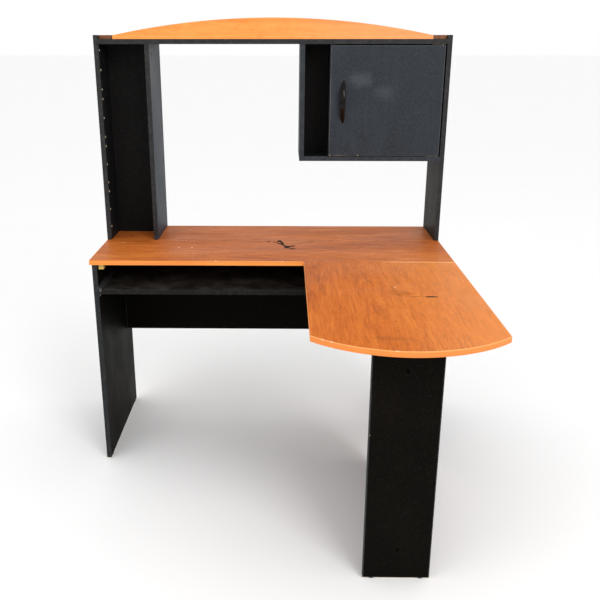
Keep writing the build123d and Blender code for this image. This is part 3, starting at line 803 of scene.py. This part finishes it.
def islands(node: str) -> list[Corner]:
    """Boxes of the separate solids in a CAD node.

    Args:
        node: Node name.

    Returns:
        Lowest and highest corner of each solid, in a steady order.
    """
    bm = bmesh.new()
    bm.from_mesh(frame["nodes"][node].data)
    bmesh.ops.remove_doubles(bm, verts=bm.verts, dist=2e-6)
    seen: set[int] = set()
    found: list[Corner] = []
    bm.verts.ensure_lookup_table()
    for start in bm.verts:
        if start.index in seen:
            continue
        stack = [start]
        seen.add(start.index)
        low, high = start.co.copy(), start.co.copy()
        while stack:
            vert = stack.pop()
            for k in range(3):
                low[k] = min(low[k], vert.co[k])
                high[k] = max(high[k], vert.co[k])
            for edge in vert.link_edges:
                other = edge.other_vert(vert)
                if other.index not in seen:
                    seen.add(other.index)
                    stack.append(other)
        found.append((low, high))
    bm.free()
    found.sort(key=lambda pair: tuple(round(c, 4) for c in pair[0]))
    return found


def round_edges(bm: BMesh, edges: Iterable[bmesh.types.BMEdge], radius: float) -> None:
    """Round edges over with two facets, in an order that's the same each run."""
    bm.edges.index_update()
    ordered = sorted(set(edges), key=lambda edge: edge.index)
    bmesh.ops.bevel(bm, geom=ordered, offset=radius, segments=2, profile=0.5,
                    affect="EDGES", clamp_overlap=True)


def soft_box(bm: BMesh, low: Vector, high: Vector, round_by: float) -> None:
    """Add a box with rounded arrises.

    Args:
        bm: Mesh to add to.
        low: Lowest corner.
        high: Highest corner.
        round_by: Radius of the arrises.
    """
    made = bmesh.ops.create_cube(bm, size=1.0)
    size = high - low
    for vert in made["verts"]:
        for k in range(3):
            vert.co[k] = low[k] + (vert.co[k] + 0.5) * size[k]
    round_edges(bm, {edge for vert in made["verts"] for edge in vert.link_edges}, round_by)


def plate_prism(bm: BMesh, outline: Sequence[Vector], push: Vector,
                round_by: float) -> None:
    """Add a prism with rounded rims.

    Args:
        bm: Mesh to add to.
        outline: Corners of one face, in order.
        push: Vector to the other face.
        round_by: Radius of the rims.
    """
    base = [bm.verts.new(point) for point in outline]
    far = [bm.verts.new(point + push) for point in outline]
    faces = [bm.faces.new(base), bm.faces.new(list(reversed(far)))]
    bridge(bm, base, far)
    round_edges(bm, {edge for face in faces for edge in face.edges}, round_by)


def turned(bm: BMesh, profile: Sequence[tuple[float, float]], base: Vector,
           way: Vector, sides: int = 32, wobble: Optional[Callable[[float, float], float]] = None
           ) -> None:
    """Add a lathe-turned solid.

    Args:
        bm: Mesh to add to.
        profile: Radius and height pairs, from one end to the other.
        base: Where height is zero.
        way: Direction of the axis.
        sides: Facets round the axis.
        wobble: Extra radius from height and angle, such as a thread.
    """
    turn = Vector((0, 0, 1)).rotation_difference(way.normalized()).to_matrix()
    rings = []
    for radius, height in profile:
        if radius < 1e-7:
            rings.append([bm.verts.new(base + turn @ Vector((0, 0, height)))])
            continue
        ring = []
        for k in range(sides):
            angle = math.tau * k / sides
            reach = radius + (wobble(height, angle) if wobble else 0.0)
            spot = Vector((reach * math.cos(angle), reach * math.sin(angle), height))
            ring.append(bm.verts.new(base + turn @ spot))
        rings.append(ring)
    for lower, upper in zip(rings, rings[1:]):
        if len(lower) == len(upper):
            bridge(bm, lower, upper)
            continue
        for k in range(sides):
            other = (k + 1) % sides
            if len(lower) == 1:
                bm.faces.new((lower[0], upper[other], upper[k]))
            else:
                bm.faces.new((lower[k], lower[other], upper[0]))
    for ring in (rings[0], rings[-1]):
        if len(ring) > 2:
            bm.faces.new(ring)


def carved(bm: BMesh, tool: BMesh) -> BMesh:
    """Cut one mesh with another.

    Args:
        bm: Mesh that is cut; freed here.
        tool: Mesh that is taken away; freed here.

    Returns:
        The cut mesh.
    """
    things = []
    for label, data in (("stock", bm), ("tool", tool)):
        things.append(placed(label, mesh_of(label, data)))
    cut = things[0].modifiers.new("cut", "BOOLEAN")
    cut.object = things[1]
    cut.solver = "EXACT"
    cut.operation = "DIFFERENCE"
    graph = bpy.context.evaluated_depsgraph_get()
    result = bmesh.new()
    result.from_mesh(things[0].evaluated_get(graph).to_mesh())
    for thing in things:
        mesh = thing.data
        bpy.data.objects.remove(thing)
        bpy.data.meshes.remove(mesh)
    return result


# ------------------------------------------------------------------ boards
@dataclass
class Board:
    """One laminated board, with rounded arrises and its visible borings."""

    node: str
    finish: BlackBoard
    arris: float = 0.0004
    pins: bool = False
    torn: list[Smear] = field(default_factory=list)

    def build(self, shop: Shop) -> bpy.types.Object:
        """Make the board.

        Args:
            shop: Workshop that signs the piece in.

        Returns:
            The board's object.
        """
        low, high = box_of(self.node)
        bm = bmesh.new()
        soft_box(bm, low, high, self.arris)
        tool = bmesh.new()
        self._cam_holes(tool, low, high)
        if self.pins:
            self._pin_holes(tool, low, high)
        if len(tool.verts):
            bm = carved(bm, tool)
        else:
            tool.free()
        finish = replace(self.finish, smears=self.finish.smears + tuple(self.torn))
        material = finish.make(low, high)
        material.name = f"{self.finish.name}_{self.node}"
        return shop.sign(f"{self.node}_board", bm, material, self.node)

    def _cam_holes(self, tool: BMesh, low: Vector, high: Vector) -> None:
        """Add a cylinder for each cam lock let into this board.

        Args:
            tool: Mesh of cutters.
            low: Lowest corner of the board.
            high: Highest corner of the board.
        """
        thin = thinnest(low, high)
        for lock_low, lock_high in islands("cam_locks"):
            middle = (lock_low + lock_high) / 2
            if any(not low[k] - 1e-4 < middle[k] < high[k] + 1e-4 for k in range(3)):
                continue
            if thinnest(lock_low, lock_high) != thin:
                continue
            up = 1.0 if high[thin] - lock_high[thin] < lock_low[thin] - low[thin] else -1.0
            mouth = middle.copy()
            mouth[thin] = high[thin] if up > 0 else low[thin]
            way = Way(thin).unit(-up)
            turned(tool, [(CAM_HOLE[0], -0.001), CAM_HOLE], mouth, way, 40)

    def _pin_holes(self, tool: BMesh, low: Vector, high: Vector) -> None:
        """Add a cylinder for each shelf-pin hole on this board's face.

        Args:
            tool: Mesh of cutters.
            low: Lowest corner of the board.
            high: Highest corner of the board.
        """
        for mount in frame["record"]["mounts"]:
            if mount["kind"] != "bolt_pattern":
                continue
            face = Vector(mount["pos_m"])
            if not low.x - 1e-4 <= face.x <= high.x + 1e-4:
                continue
            step = mount["dims"]["spacing_y_mm"] / 1000
            radius = mount["dims"]["hole_r_mm"] / 1000
            many = mount["dims"]["count"]
            for k in range(many):
                mouth = face + Vector((0, 0, step * (k - (many - 1) / 2)))
                way = -Vector(mount["axis"])
                chipped = radius * PIN_CHIP_SPREAD
                turned(tool, [(chipped, -0.0005), (chipped, 0.0), (radius, PIN_CHIP_DEPTH),
                              (radius, PIN_HOLE_DEPTH)], mouth, way, 24)
                self.torn.append(Smear(tuple(mouth), TORN_RIM, 1.0, shade(255, 240, 204)))


@dataclass
class Strips:
    """Straight edge-band strips of one node."""

    node: str
    finish: Any
    parts: Sequence[Corner]
    arris: float = BAND_ARRIS
    label: str = "strips"

    def build(self, shop: Shop) -> bpy.types.Object:
        """Make every strip of the node as one piece."""
        bm = bmesh.new()
        for low, high in self.parts:
            soft_box(bm, low, high, self.arris)
        return shop.sign(f"{self.node}_{self.label}", bm, shop.coat(self.finish), self.node)


def front_strips(*boards: str) -> list[Corner]:
    """Room for the band on the front edge of each board."""
    found = []
    for board in boards:
        low, high = box_of(board)
        found.append((Vector((low.x, low.y - BAND, low.z)), Vector((high.x, low.y, high.z))))
    return found


def side_strips(board: str) -> list[Corner]:
    """Room for the bands on the left and right edges of a board."""
    low, high = box_of(board)
    return [(Vector((low.x - BAND, low.y, low.z)), Vector((low.x, high.y, high.z))),
            (Vector((high.x, low.y, low.z)), Vector((high.x + BAND, high.y, high.z)))]


# ------------------------------------------------------------------ sub-assemblies
@dataclass
class DeskTops:
    """Main top and bowed return leaf with their orange bands."""

    bow: float = 0.098
    arris: float = 0.0005
    bow_steps: int = 72
    main: CherryTop = CherryTop(
        "cherry_main", Way.X, shade(220, 131, 60), shade(193, 103, 42), shade(156, 76, 29),
        scuffs=(Scuff((-0.014, 0.384), (0.0075, 0.0075), share=0.75),
                Scuff((0.012, 0.376), (0.011, 0.0075), share=0.6),
                Scuff((0.023, 0.390), (0.020, 0.0056), 1.28),
                Scuff((0.0335, 0.373), (0.038, 0.0060), -1.33),
                Scuff((0.029, 0.352), (0.019, 0.0058), -0.99),
                Scuff((0.045, 0.326), (0.017, 0.0060), -0.9),
                Scuff((0.0535, 0.309), (0.013, 0.019), -0.25),
                Scuff((0.071, 0.322), (0.014, 0.0085), 0.5),
                Scuff((0.071, 0.286), (0.0135, 0.0085), -0.06)),
        chips=((-0.531, 0.364), (-0.325, 0.298), (-0.280, 0.298)))
    leaf: CherryTop = CherryTop(
        "cherry_leaf", Way.Y, shade(218, 126, 46), shade(199, 103, 30), shade(160, 76, 22),
        tilt=0.06, painted_leaf_light=True,
        scuffs=(Scuff((0.4584, -0.230), (0.0215, 0.0058)),
                Scuff((0.413, -0.230), (0.0190, 0.0026), -0.04, 0.6, shade(96, 36, 20)),
                Scuff((0.395, -0.199), (0.024, 0.0060), -0.08, 0.32, shade(120, 44, 22)),
                Scuff((0.372, -0.197), (0.040, 0.030), -0.8, 0.18, shade(130, 60, 26)),
                Scuff((0.307, -0.548), (0.060, 0.014), -0.1, 0.20, shade(104, 74, 34))),
        chips=((0.368, -0.143),))

    def build(self, shop: Shop) -> None:
        """Make both tops and their bands."""
        self._main_top(shop)
        low, high = box_of("desktop_return")
        bm = bmesh.new()
        outline = [Vector((high.x, high.y, low.z)), Vector((low.x, high.y, low.z)),
                   *self._arc(low, high, 0.0)]
        plate_prism(bm, outline, Vector((0, 0, high.z - low.z)), self.arris)
        shop.sign("desktop_return_board", bm, self.leaf.make(low, high), "desktop_return")
        self._leaf_bands(shop, low, high)
        shop.report("desk tops")

    def _main_top(self, shop: Shop) -> None:
        """Main board, unbanded where the leaf meets it, and its four strips."""
        low, high = box_of("desktop_main")
        rim_low, rim_high = box_of("main_edge_bands")
        meet = box_of("return_edge_bands")[0].x
        front = low.y + BAND
        outline = [Vector((x, y, low.z)) for x, y in (
            (low.x, front), (meet, front), (meet, low.y), (high.x, low.y),
            (high.x, high.y), (low.x, high.y))]
        bm = bmesh.new()
        plate_prism(bm, outline, Vector((0, 0, high.z - low.z)), self.arris)
        shop.sign("desktop_main_board", bm, self.main.make(low, high), "desktop_main")
        rooms = ((rim_low.x, rim_low.y, low.x, rim_high.y),
                 (high.x, rim_low.y, rim_high.x, rim_high.y),
                 (low.x, high.y, high.x, rim_high.y), (low.x, rim_low.y, meet, front))
        parts = [(Vector((x0, y0, low.z)), Vector((x1, y1, high.z))) for x0, y0, x1, y1 in rooms]
        Strips("main_edge_bands", CherryBand(), parts).build(shop)

    def _arc(self, low: Vector, high: Vector, out: float) -> list[Vector]:
        """Points of the leaf's bowed front.

        Args:
            low: Lowest corner of the leaf.
            high: Highest corner of the leaf.
            out: How far the free sides are pushed outwards.

        Returns:
            Points at the underside, from left to right.
        """
        half = (high.x - low.x) / 2 + out
        radius = (half * half + self.bow * self.bow) / (2 * self.bow)
        middle = (low.x + high.x) / 2
        centre_y = low.y - out + radius
        swing = math.asin(half / radius)
        points = []
        for k in range(self.bow_steps + 1):
            angle = swing * (2 * k / self.bow_steps - 1)
            points.append(Vector((middle + radius * math.sin(angle),
                                  centre_y - radius * math.cos(angle), low.z)))
        return points

    def _leaf_bands(self, shop: Shop, low: Vector, high: Vector) -> None:
        """Two straight bands and one bent round the bow, as one piece."""
        bm = bmesh.new()
        inner = self._arc(low, high, 0.0)
        outer = self._arc(low, high, BAND)
        for x in (low.x - BAND, high.x):
            soft_box(bm, Vector((x, outer[0].y, low.z)), Vector((x + BAND, high.y, high.z)),
                     BAND_ARRIS)
        rise = high.z - low.z
        soft = 0.0004
        rows = []
        for near, far in zip(inner, outer):
            across = far - near
            rows.append([bm.verts.new(point) for point in (
                near, near + across * 0.6, near + across + Vector((0, 0, soft)),
                near + across + Vector((0, 0, rise - soft)),
                near + across * 0.6 + Vector((0, 0, rise)), near + Vector((0, 0, rise)))])
        for first, second in zip(rows, rows[1:]):
            bridge(bm, first, second)
        bm.faces.new(rows[0])
        bm.faces.new(list(reversed(rows[-1])))
        shop.sign("return_edge_bands_strips", bm, shop.coat(CherryBand()),
                  "return_edge_bands", smooth=30)


@dataclass
class BaseFrame:
    """Side legs, modesty board, return leg and tray hanger."""

    leg: BlackBoard = BlackBoard("black_leg", gloss=0.02, wear=0.35, tone=shade(16, 15, 11),
                                 rubbed=shade(34, 31, 24))
    # Modesty board and return leg: darker than the other black boards, painted shade.
    front: BlackBoard = BlackBoard(
        "black_front_painted_shade", gloss=0.02, wear=0.3, tone=shade(12, 10, 7), rubbed=shade(27, 23, 18),
        smears=(Smear((0.2665, -0.501, 0.449), (0.0050, 0.006, 0.0034), 0.8,
                      shade(150, 138, 120)),))

    def build(self, shop: Shop) -> None:
        """Make every board under the tops."""
        for node in ("left_leg_panel", "right_leg_panel", "return_leg_fin",
                     "tray_hanger_panel"):
            Board(node, self.leg).build(shop)
        for node in ("modesty_panel", "return_leg_panel"):
            Board(node, self.front).build(shop)
        Strips("base_edge_bands", BASE_BAND, front_strips("left_leg_panel", "right_leg_panel")
               + side_strips("return_leg_panel")).build(shop)
        shop.dress("foot_glides", shop.coat(MOULDED))
        shop.dress("corner_blocks", shop.coat(IVORY))
        shop.dress("mending_plates", shop.coat(ZINC))
        shop.report("base frame")


@dataclass
class Hutch:
    """Sides, top, partition, cabinet boards and the inset backs."""

    skin: BlackBoard = BlackBoard("black_hutch", gloss=0.16, tone=shade(22, 23, 25),
                                  rubbed=shade(42, 45, 49))
    # Partition: blue-grey and paler than the other black boards, a painted reflection.
    partition_painted_reflection: BlackBoard = BlackBoard("black_partition_painted_reflection", gloss=0.20, tone=shade(20, 31, 42),
                                  rubbed=shade(44, 62, 80))
    flank: BlackBoard = BlackBoard("black_flank", gloss=0.04, tone=shade(32, 28, 21),
                                   rubbed=shade(58, 51, 39))
    back: BlackBoard = BlackBoard("black_back", gloss=0.05, wear=0.35, rims=0.0,
                                  tone=shade(22, 21, 20), rubbed=shade(36, 35, 34))

    def build(self, shop: Shop) -> None:
        """Make the hutch's boards and bands."""
        Board("hutch_side_left", self.skin, pins=True).build(shop)
        Board("tower_partition", self.partition_painted_reflection, pins=True).build(shop)
        Board("hutch_side_right", self.flank).build(shop)
        for node in ("hutch_top_panel", "cabinet_left_panel",
                     "cabinet_bottom_panel", "cabinet_divider"):
            Board(node, self.skin).build(shop)
        for node in ("tower_back_panel", "cabinet_back_panel"):
            Board(node, self.back).build(shop)
        Strips("hutch_edge_bands", BLACK_BAND, front_strips(
            "hutch_side_left", "hutch_side_right", "hutch_top_panel",
            "tower_partition")).build(shop)
        Strips("hutch_edge_bands", CABINET_REFLECTION_BAND, front_strips(
            "cabinet_left_panel", "cabinet_bottom_panel", "cabinet_divider"),
            label="cabinet_strips").build(shop)
        shop.report("hutch")


@dataclass
class Crown:
    """Arched cherry board and the brown cleat behind it."""

    shoulder: float = 0.012
    arris: float = 0.0009
    steps: int = 96

    def build(self, shop: Shop) -> None:
        """Make the crown board and the cleat."""
        low, high = box_of("crown_board")
        half = (high.x - low.x) / 2
        middle = (high.x + low.x) / 2
        rise = high.z - low.z - self.shoulder
        radius = (half * half + rise * rise) / (2 * rise)
        swing = math.asin(half / radius)
        outline = [Vector((low.x, low.y, low.z)), Vector((high.x, low.y, low.z))]
        for k in range(self.steps + 1):
            angle = swing * (1 - 2 * k / self.steps)
            outline.append(Vector((middle + radius * math.sin(angle), low.y,
                                   high.z - radius + radius * math.cos(angle))))
        bm = bmesh.new()
        plate_prism(bm, outline, Vector((0, high.y - low.y, 0)), self.arris)
        shop.sign("crown_arch", bm, shop.coat(CherryBoard()), "crown_board")
        low, high = box_of("crown_cleat")
        bm = bmesh.new()
        soft_box(bm, low, high, 0.0006)
        shop.sign("crown_cleat_board", bm, shop.coat(BROWN), "crown_cleat")
        shop.report("crown")


@dataclass
class KeyboardTray:
    """Sliding tray, its roller slides and wheels."""

    skin: BlackBoard = BlackBoard("black_tray", dust=0.25, gloss=0.06,
                                  tone=shade(12, 11, 9), rubbed=shade(24, 22, 19))
    groove: float = 0.0007
    wheel_sides: int = 48

    def build(self, shop: Shop) -> None:
        """Make the tray board, the slides and the four wheels."""
        Board("keyboard_tray", self.skin).build(shop)
        Strips("tray_edge_band", TRAY_BAND, front_strips("keyboard_tray")).build(shop)
        for node in ("rail_left", "rail_right", "runner_left", "runner_right"):
            shop.dress(node, shop.coat(SLIDE_STEEL))
        for node in ("rail_rivets", "runner_rivets"):
            shop.dress(node, shop.coat(ZINC))
        for node in ("rail_roller_left", "rail_roller_right", "runner_roller_left",
                     "runner_roller_right"):
            self._wheel(shop, node)
        shop.report("keyboard tray")

    def _wheel(self, shop: Shop, node: str) -> None:
        """Nylon wheel with a hub, a dished web and a rounded tread.

        Args:
            shop: Workshop that signs the piece in.
            node: Roller's CAD node.
        """
        low, high = box_of(node)
        wide = high.x - low.x
        radius = (high.z - low.z) / 2
        bore = 0.00206
        dish = 0.0011
        profile = [(bore, 0.0), (bore + 0.0012, 0.0), (bore + 0.0016, dish),
                   (radius * 0.72, dish), (radius * 0.78, 0.0), (radius - 0.0008, 0.0),
                   (radius - 0.0002, 0.0004), (radius, 0.001), (radius, wide * 0.35),
                   (radius - self.groove, wide * 0.45), (radius - self.groove, wide * 0.55),
                   (radius, wide * 0.65), (radius, wide - 0.001),
                   (radius - 0.0002, wide - 0.0004), (radius - 0.0008, wide),
                   (radius * 0.78, wide), (radius * 0.72, wide - dish),
                   (bore + 0.0016, wide - dish), (bore + 0.0012, wide), (bore, wide),
                   (bore, 0.0)]
        base = Vector((low.x, (low.y + high.y) / 2, (low.z + high.z) / 2))
        bm = bmesh.new()
        turned(bm, profile[:-1], base, Vector((1, 0, 0)), self.wheel_sides)
        ends = [face for face in bm.faces if len(face.verts) > 4]
        rings = [list(face.verts) for face in ends]
        bmesh.ops.delete(bm, geom=ends, context="FACES_ONLY")
        bridge(bm, *rings)
        shop.sign(f"{node}_wheel", bm, shop.coat(NYLON), node, smooth=40)


@dataclass
class CabinetDoor:
    """Inset door with its bow pull, pivot hinges and catch."""

    # Door face: blue-grey and paler than the other black boards, a painted reflection.
    skin: BlackBoard = BlackBoard(
        "black_door_painted_reflection", gloss=0.30, wear=0.60, tone=shade(26, 33, 40), rubbed=shade(52, 62, 73),
        smears=(Smear((0.300, 0.405, 1.300), (0.056, 0.05, 0.036), 0.22),
                Smear((0.377, 0.405, 1.258), (0.050, 0.05, 0.034), 0.13)))
    foot: float = 0.017
    reach: float = 0.027
    inner_reach: float = 0.0205
    left_bulge: float = 0.0155
    rows: int = 56
    ring: int = 20

    def build(self, shop: Shop) -> None:
        """Make the door and what hangs it."""
        low, high = box_of("cabinet_door")
        tan = shade(196, 178, 138)
        worn = (Smear((low.x, low.y, (low.z + high.z) / 2), (0.0026, 0.003, 0.20), 0.20, tan),
                Smear((low.x + 0.003, low.y, low.z), (0.0050, 0.006, 0.0034), 0.9, tan),
                Smear((low.x + 0.040, low.y, low.z), (0.0420, 0.006, 0.0022), 0.6, tan),
                Smear((low.x + 0.101, low.y, low.z), (0.0040, 0.006, 0.0036), 0.9, tan))
        skin = replace(self.skin, smears=self.skin.smears + worn)
        Board("cabinet_door", skin).build(shop)
        Strips("door_edge_bands", BLACK_BAND, side_strips("cabinet_door")).build(shop)
        self._pull(shop)
        for node in ("hinge_leaves_fixed", "hinge_leaves_door"):
            shop.dress(node, shop.coat(HINGE_STEEL))
        for node in ("hinge_pins", "catch_strike"):
            shop.dress(node, shop.coat(ZINC))
        shop.dress("catch_body", shop.coat(MOULDED))
        shop.dress("catch_magnet", shop.coat(MAGNET))
        shop.report("cabinet door")

    def _pull(self, shop: Shop) -> None:
        """Leaf-shaped bow pull with a crowned section."""
        low, high = box_of("door_handle")
        back = high.y
        half = (high.z - low.z) / 2
        middle = (high.z + low.z) / 2
        spine = high.x - 0.0055
        inner_half = half - self.foot
        outer_r = (half * half + self.reach ** 2) / (2 * self.reach)
        inner_r = (inner_half ** 2 + self.inner_reach ** 2) / (2 * self.inner_reach)
        bm = bmesh.new()
        loops = []
        for i in range(self.rows + 1):
            t = math.sin(math.pi / 2 * (2 * i / self.rows - 1))
            z = t * half * 0.9995
            front = outer_r - self.reach
            depth = max(math.sqrt(max(outer_r ** 2 - z * z, 0.0)) - front, 0.0004)
            under = 0.0
            if abs(z) < inner_half:
                under = math.sqrt(inner_r ** 2 - z * z) - (inner_r - self.inner_reach)
            lean = 1 - t * t
            left = spine - 0.0035 - (self.left_bulge - 0.0030) * lean
            right = spine + 0.0037 + 0.0014 * lean
            close = max(1 - abs(t) ** 14, 0.30)
            centre_x = (left + right) / 2
            half_x = (right - left) / 2 * close
            centre_y = (depth + under) / 2
            half_y = (depth - under) / 2
            loop = []
            for k in range(self.ring):
                angle = math.tau * k / self.ring
                c, s = math.cos(angle), math.sin(angle)
                power = 0.72 if s > 0 else 0.55
                x = centre_x + half_x * math.copysign(abs(c) ** power, c)
                y = centre_y + half_y * math.copysign(abs(s) ** power, s)
                loop.append(bm.verts.new((x, back - y, middle + z)))
            loops.append(loop)
        for first, second in zip(loops, loops[1:]):
            bridge(bm, first, second)
        bm.faces.new(list(reversed(loops[0])))
        bm.faces.new(loops[-1])
        shop.sign("door_handle_pull", bm, shop.coat(LACQUER), "door_handle", smooth=50)


@dataclass
class Fastener:
    """One kind of screw: a head, a recess and a threaded shank."""

    node: str
    drive: Drive
    pan: bool = False
    pitch: float = 0.0018
    thread: float = 0.00035
    sides: int = 20
    finish: Coat = ZINC
    step: bool = False

    def build(self, shop: Shop) -> None:
        """Make all screws of the node as one piece."""
        bm = bmesh.new()
        for low, high in islands(self.node):
            self._one(bm, low, high)
        shop.sign(f"{self.node}_set", bm, shop.coat(self.finish), self.node, smooth=40)

    def _one(self, bm: BMesh, low: Vector, high: Vector) -> None:
        """Add one screw in the place of a CAD solid.

        Args:
            bm: Mesh to add to.
            low: Lowest corner of the solid.
            high: Highest corner of the solid.
        """
        size = high - low
        axis = max(range(3), key=lambda i: size[i])
        length = size[axis]
        head = (size[(axis + 1) % 3] + size[(axis + 2) % 3]) / 4
        sign = self._points(low, high, axis)
        middle = (low + high) / 2
        base = middle.copy()
        base[axis] = low[axis] if sign > 0 else high[axis]
        way = Way(axis).unit(sign)
        core = head * (0.62 if self.step else 0.5)
        solid = bmesh.new()
        if self.pan:
            rise = head / 1.9 * 0.75
            cap = [(0.0, 0.0), (head * 0.45, rise * 0.06), (head * 0.8, rise * 0.32),
                   (head * 0.97, rise * 0.72), (head, rise), (head * 0.52, rise)]
            start = rise
        else:
            start = head * 0.66
            cap = [(0.0, 0.0), (head * 0.93, 0.0), (head, head * 0.09),
                   (head * 0.96, head * 0.2), (core, start)]
        profile = list(cap)
        rows = max(int((length - start) / self.pitch * 5), 8)
        for k in range(1, rows + 1):
            height = start + (length - start) * k / rows
            taper = min(1.0, (length - height) / (head * 1.4) + 0.12)
            profile.append((max(core * 0.82 * taper, 0.0002), height))
        profile.append((0.0, length))
        begin = start + head * 0.5
        def crest(height: float, angle: float) -> float:
            """Height of the thread at a point of the shank."""
            if height < begin or height > length - head * 0.4:
                return 0.0
            turn = (height / self.pitch - angle / math.tau) % 1.0
            return self.thread * max(0.0, 1.0 - abs(turn - 0.5) * 3.2)
        turned(solid, profile, base, way, self.sides, crest)
        tool = bmesh.new()
        self._recess(tool, base, way, head)
        cut = carved(solid, tool)
        mesh = mesh_of("screw", cut)
        bm.from_mesh(mesh)
        bpy.data.meshes.remove(mesh)

    def _points(self, low: Vector, high: Vector, axis: int) -> float:
        """Direction of the tip along the screw's axis.

        Args:
            low: Lowest corner of the solid.
            high: Highest corner of the solid.
            axis: Index of the screw's axis.

        Returns:
            Plus one or minus one.
        """
        wide_low = wide_high = 0.0
        middle = (low + high) / 2
        third = (high[axis] - low[axis]) / 3
        for vert in frame["nodes"][self.node].data.vertices:
            point = vert.co
            if any(not low[k] - 1e-5 < point[k] < high[k] + 1e-5 for k in range(3)):
                continue
            gap = point - middle
            gap[axis] = 0.0
            if point[axis] < low[axis] + third:
                wide_low = max(wide_low, gap.length)
            elif point[axis] > high[axis] - third:
                wide_high = max(wide_high, gap.length)
        return 1.0 if wide_low > wide_high else -1.0

    def _recess(self, tool: BMesh, base: Vector, way: Vector, head: float) -> None:
        """Add the cutter of the head's recess."""
        if self.drive is Drive.HEX:
            turned(tool, [(head * 0.42, -0.0005), (head * 0.42, head * 0.5),
                          (0.0, head * 0.62)], base, way, 6)
            return
        turn = Vector((0, 0, 1)).rotation_difference(way).to_matrix()
        rings = []
        for depth, long_side in ((-0.0006, 0.62 * head), (head * 0.42, 0.36 * head)):
            a, b = long_side, 0.14 * head
            rings.append([tool.verts.new(base + turn @ Vector((x, y, depth))) for x, y in (
                (a, b), (b, b), (b, a), (-b, a), (-b, b), (-a, b),
                (-a, -b), (-b, -b), (-b, -a), (b, -a), (b, -b), (a, -b))])
        bridge(tool, *rings)
        tool.faces.new(list(reversed(rings[0])))
        tool.faces.new(rings[1])


@dataclass
class Fittings:
    """Every screw, cam, bolt and dowel."""

    def build(self, shop: Shop) -> None:
        """Make the fasteners and dress the hidden fittings."""
        for kind in (Fastener("confirmat_screws", Drive.HEX, pitch=0.003, thread=0.0007,
                              step=True, finish=SCREW_GREY),
                     Fastener("short_panel_screws", Drive.CROSS),
                     Fastener("long_panel_screws", Drive.CROSS, pitch=0.0022),
                     Fastener("mending_plate_screws", Drive.CROSS),
                     Fastener("hinge_screws_fixed", Drive.CROSS, pitch=0.0012,
                              thread=0.00025),
                     Fastener("door_plate_screws", Drive.CROSS, pitch=0.0012,
                              thread=0.00025),
                     Fastener("handle_screws", Drive.CROSS, pan=True, pitch=0.0010,
                              thread=0.0002),
                     Fastener("rail_screws", Drive.CROSS, pan=True),
                     Fastener("runner_screws", Drive.CROSS, pan=True),
                     Fastener("catch_screws", Drive.CROSS, pan=True)):
            kind.build(shop)
        shop.dress("cam_locks", shop.coat(CAM_BLACK))
        shop.dress("cam_bolts", shop.coat(ZINC))
        shop.dress("wood_dowels", shop.coat(DOWEL))
        shop.report("fittings")


@dataclass
class Studio:
    """Pale floor, soft lights and the camera."""

    eye: tuple[float, float, float] = (0.04264, -2.24385, 1.41843)
    yaw: float = math.radians(-0.8407)
    pitch: float = math.radians(18.764)
    roll: float = math.radians(0.0095)
    lens: float = 45.09
    shift: tuple[float, float] = (0.0442, -0.0033)

    def build(self) -> None:
        """Set up floor, lights, sky and camera."""
        self._floor()
        self._sky()
        self._lamp("key", (1.9, -3.3, 3.3), (0.1, 0.1, 0.95), 1.8, 70.0)
        self._lamp("fill", (-2.8, -2.2, 2.6), (0.0, 0.1, 0.9), 2.4, 15.0)
        self._camera()

    def _floor(self) -> None:
        """Large plain pale floor."""
        reach = 90.0
        mesh = bpy.data.meshes.new("floor")
        mesh.from_pydata([(x * reach, y * reach, 0.0)
                          for x, y in ((-1, -1), (1, -1), (1, 1), (-1, 1))],
                         [], [(0, 1, 2, 3)])
        paint = Paint("pale_floor")
        haze = paint.noise(paint.place, 2.0, 2.0)
        paint.set(Base_Color=paint.mix(haze, (0.94, 0.94, 0.94), (0.96, 0.96, 0.96)),
                  Roughness=0.9, Specular_IOR_Level=0.1)
        mesh.materials.append(paint.material)
        placed("floor", mesh)

    def _sky(self) -> None:
        """White surround."""
        world = bpy.data.worlds.new("surround")
        world.use_nodes = True
        back = world.node_tree.nodes["Background"]
        back.inputs["Color"].default_value = (1.0, 1.0, 1.0, 1.0)
        back.inputs["Strength"].default_value = 1.0
        scene = bpy.context.scene
        scene.world = world
        scene.view_settings.view_transform = "Standard"

    def _lamp(self, name: str, spot: Sequence[float], aim: Sequence[float], size: float,
              power: float) -> None:
        """Add one soft area light.

        Args:
            name: Name of the light.
            spot: Its position.
            aim: Point it faces.
            size: Side of the light.
            power: Watts.
        """
        data = bpy.data.lights.new(name, "AREA")
        data.energy = power
        data.size = size
        lamp = placed(name, data)
        lamp.location = spot
        lamp.rotation_euler = (Vector(aim) - Vector(spot)).to_track_quat("-Z", "Y").to_euler()

    def _camera(self) -> None:
        """Camera at the sitter's side, looking slightly down."""
        data = bpy.data.cameras.new("camera")
        data.lens = self.lens
        data.sensor_width = 36.0
        data.shift_x, data.shift_y = self.shift
        data.clip_end = 100.0
        forward = Vector((math.sin(self.yaw) * math.cos(self.pitch),
                          math.cos(self.yaw) * math.cos(self.pitch), -math.sin(self.pitch)))
        right = Vector((math.cos(self.yaw), -math.sin(self.yaw), 0.0))
        down = forward.cross(right)
        right = right * math.cos(self.roll) + down * math.sin(self.roll)
        down = forward.cross(right)
        turn = Matrix((right, -down, -forward)).transposed()
        camera = placed("camera", data)
        camera.matrix_world = Matrix.Translation(self.eye) @ turn.to_4x4()
        bpy.context.scene.camera = camera


def write_sizes() -> None:
    """Bring the view layer up to date."""
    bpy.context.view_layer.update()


def main() -> None:
    """Build the studio and every sub-assembly in order."""
    logging.basicConfig(level=logging.INFO, format="%(name)s %(message)s")
    Studio().build()
    shop = Shop()
    assemblies: Iterable[Any] = (DeskTops(), BaseFrame(), Hutch(), Crown(), KeyboardTray(),
                                 CabinetDoor(), Fittings())
    for assembly in assemblies:
        assembly.build(shop)
    write_sizes()


if __name__ == "__main__":
    main()
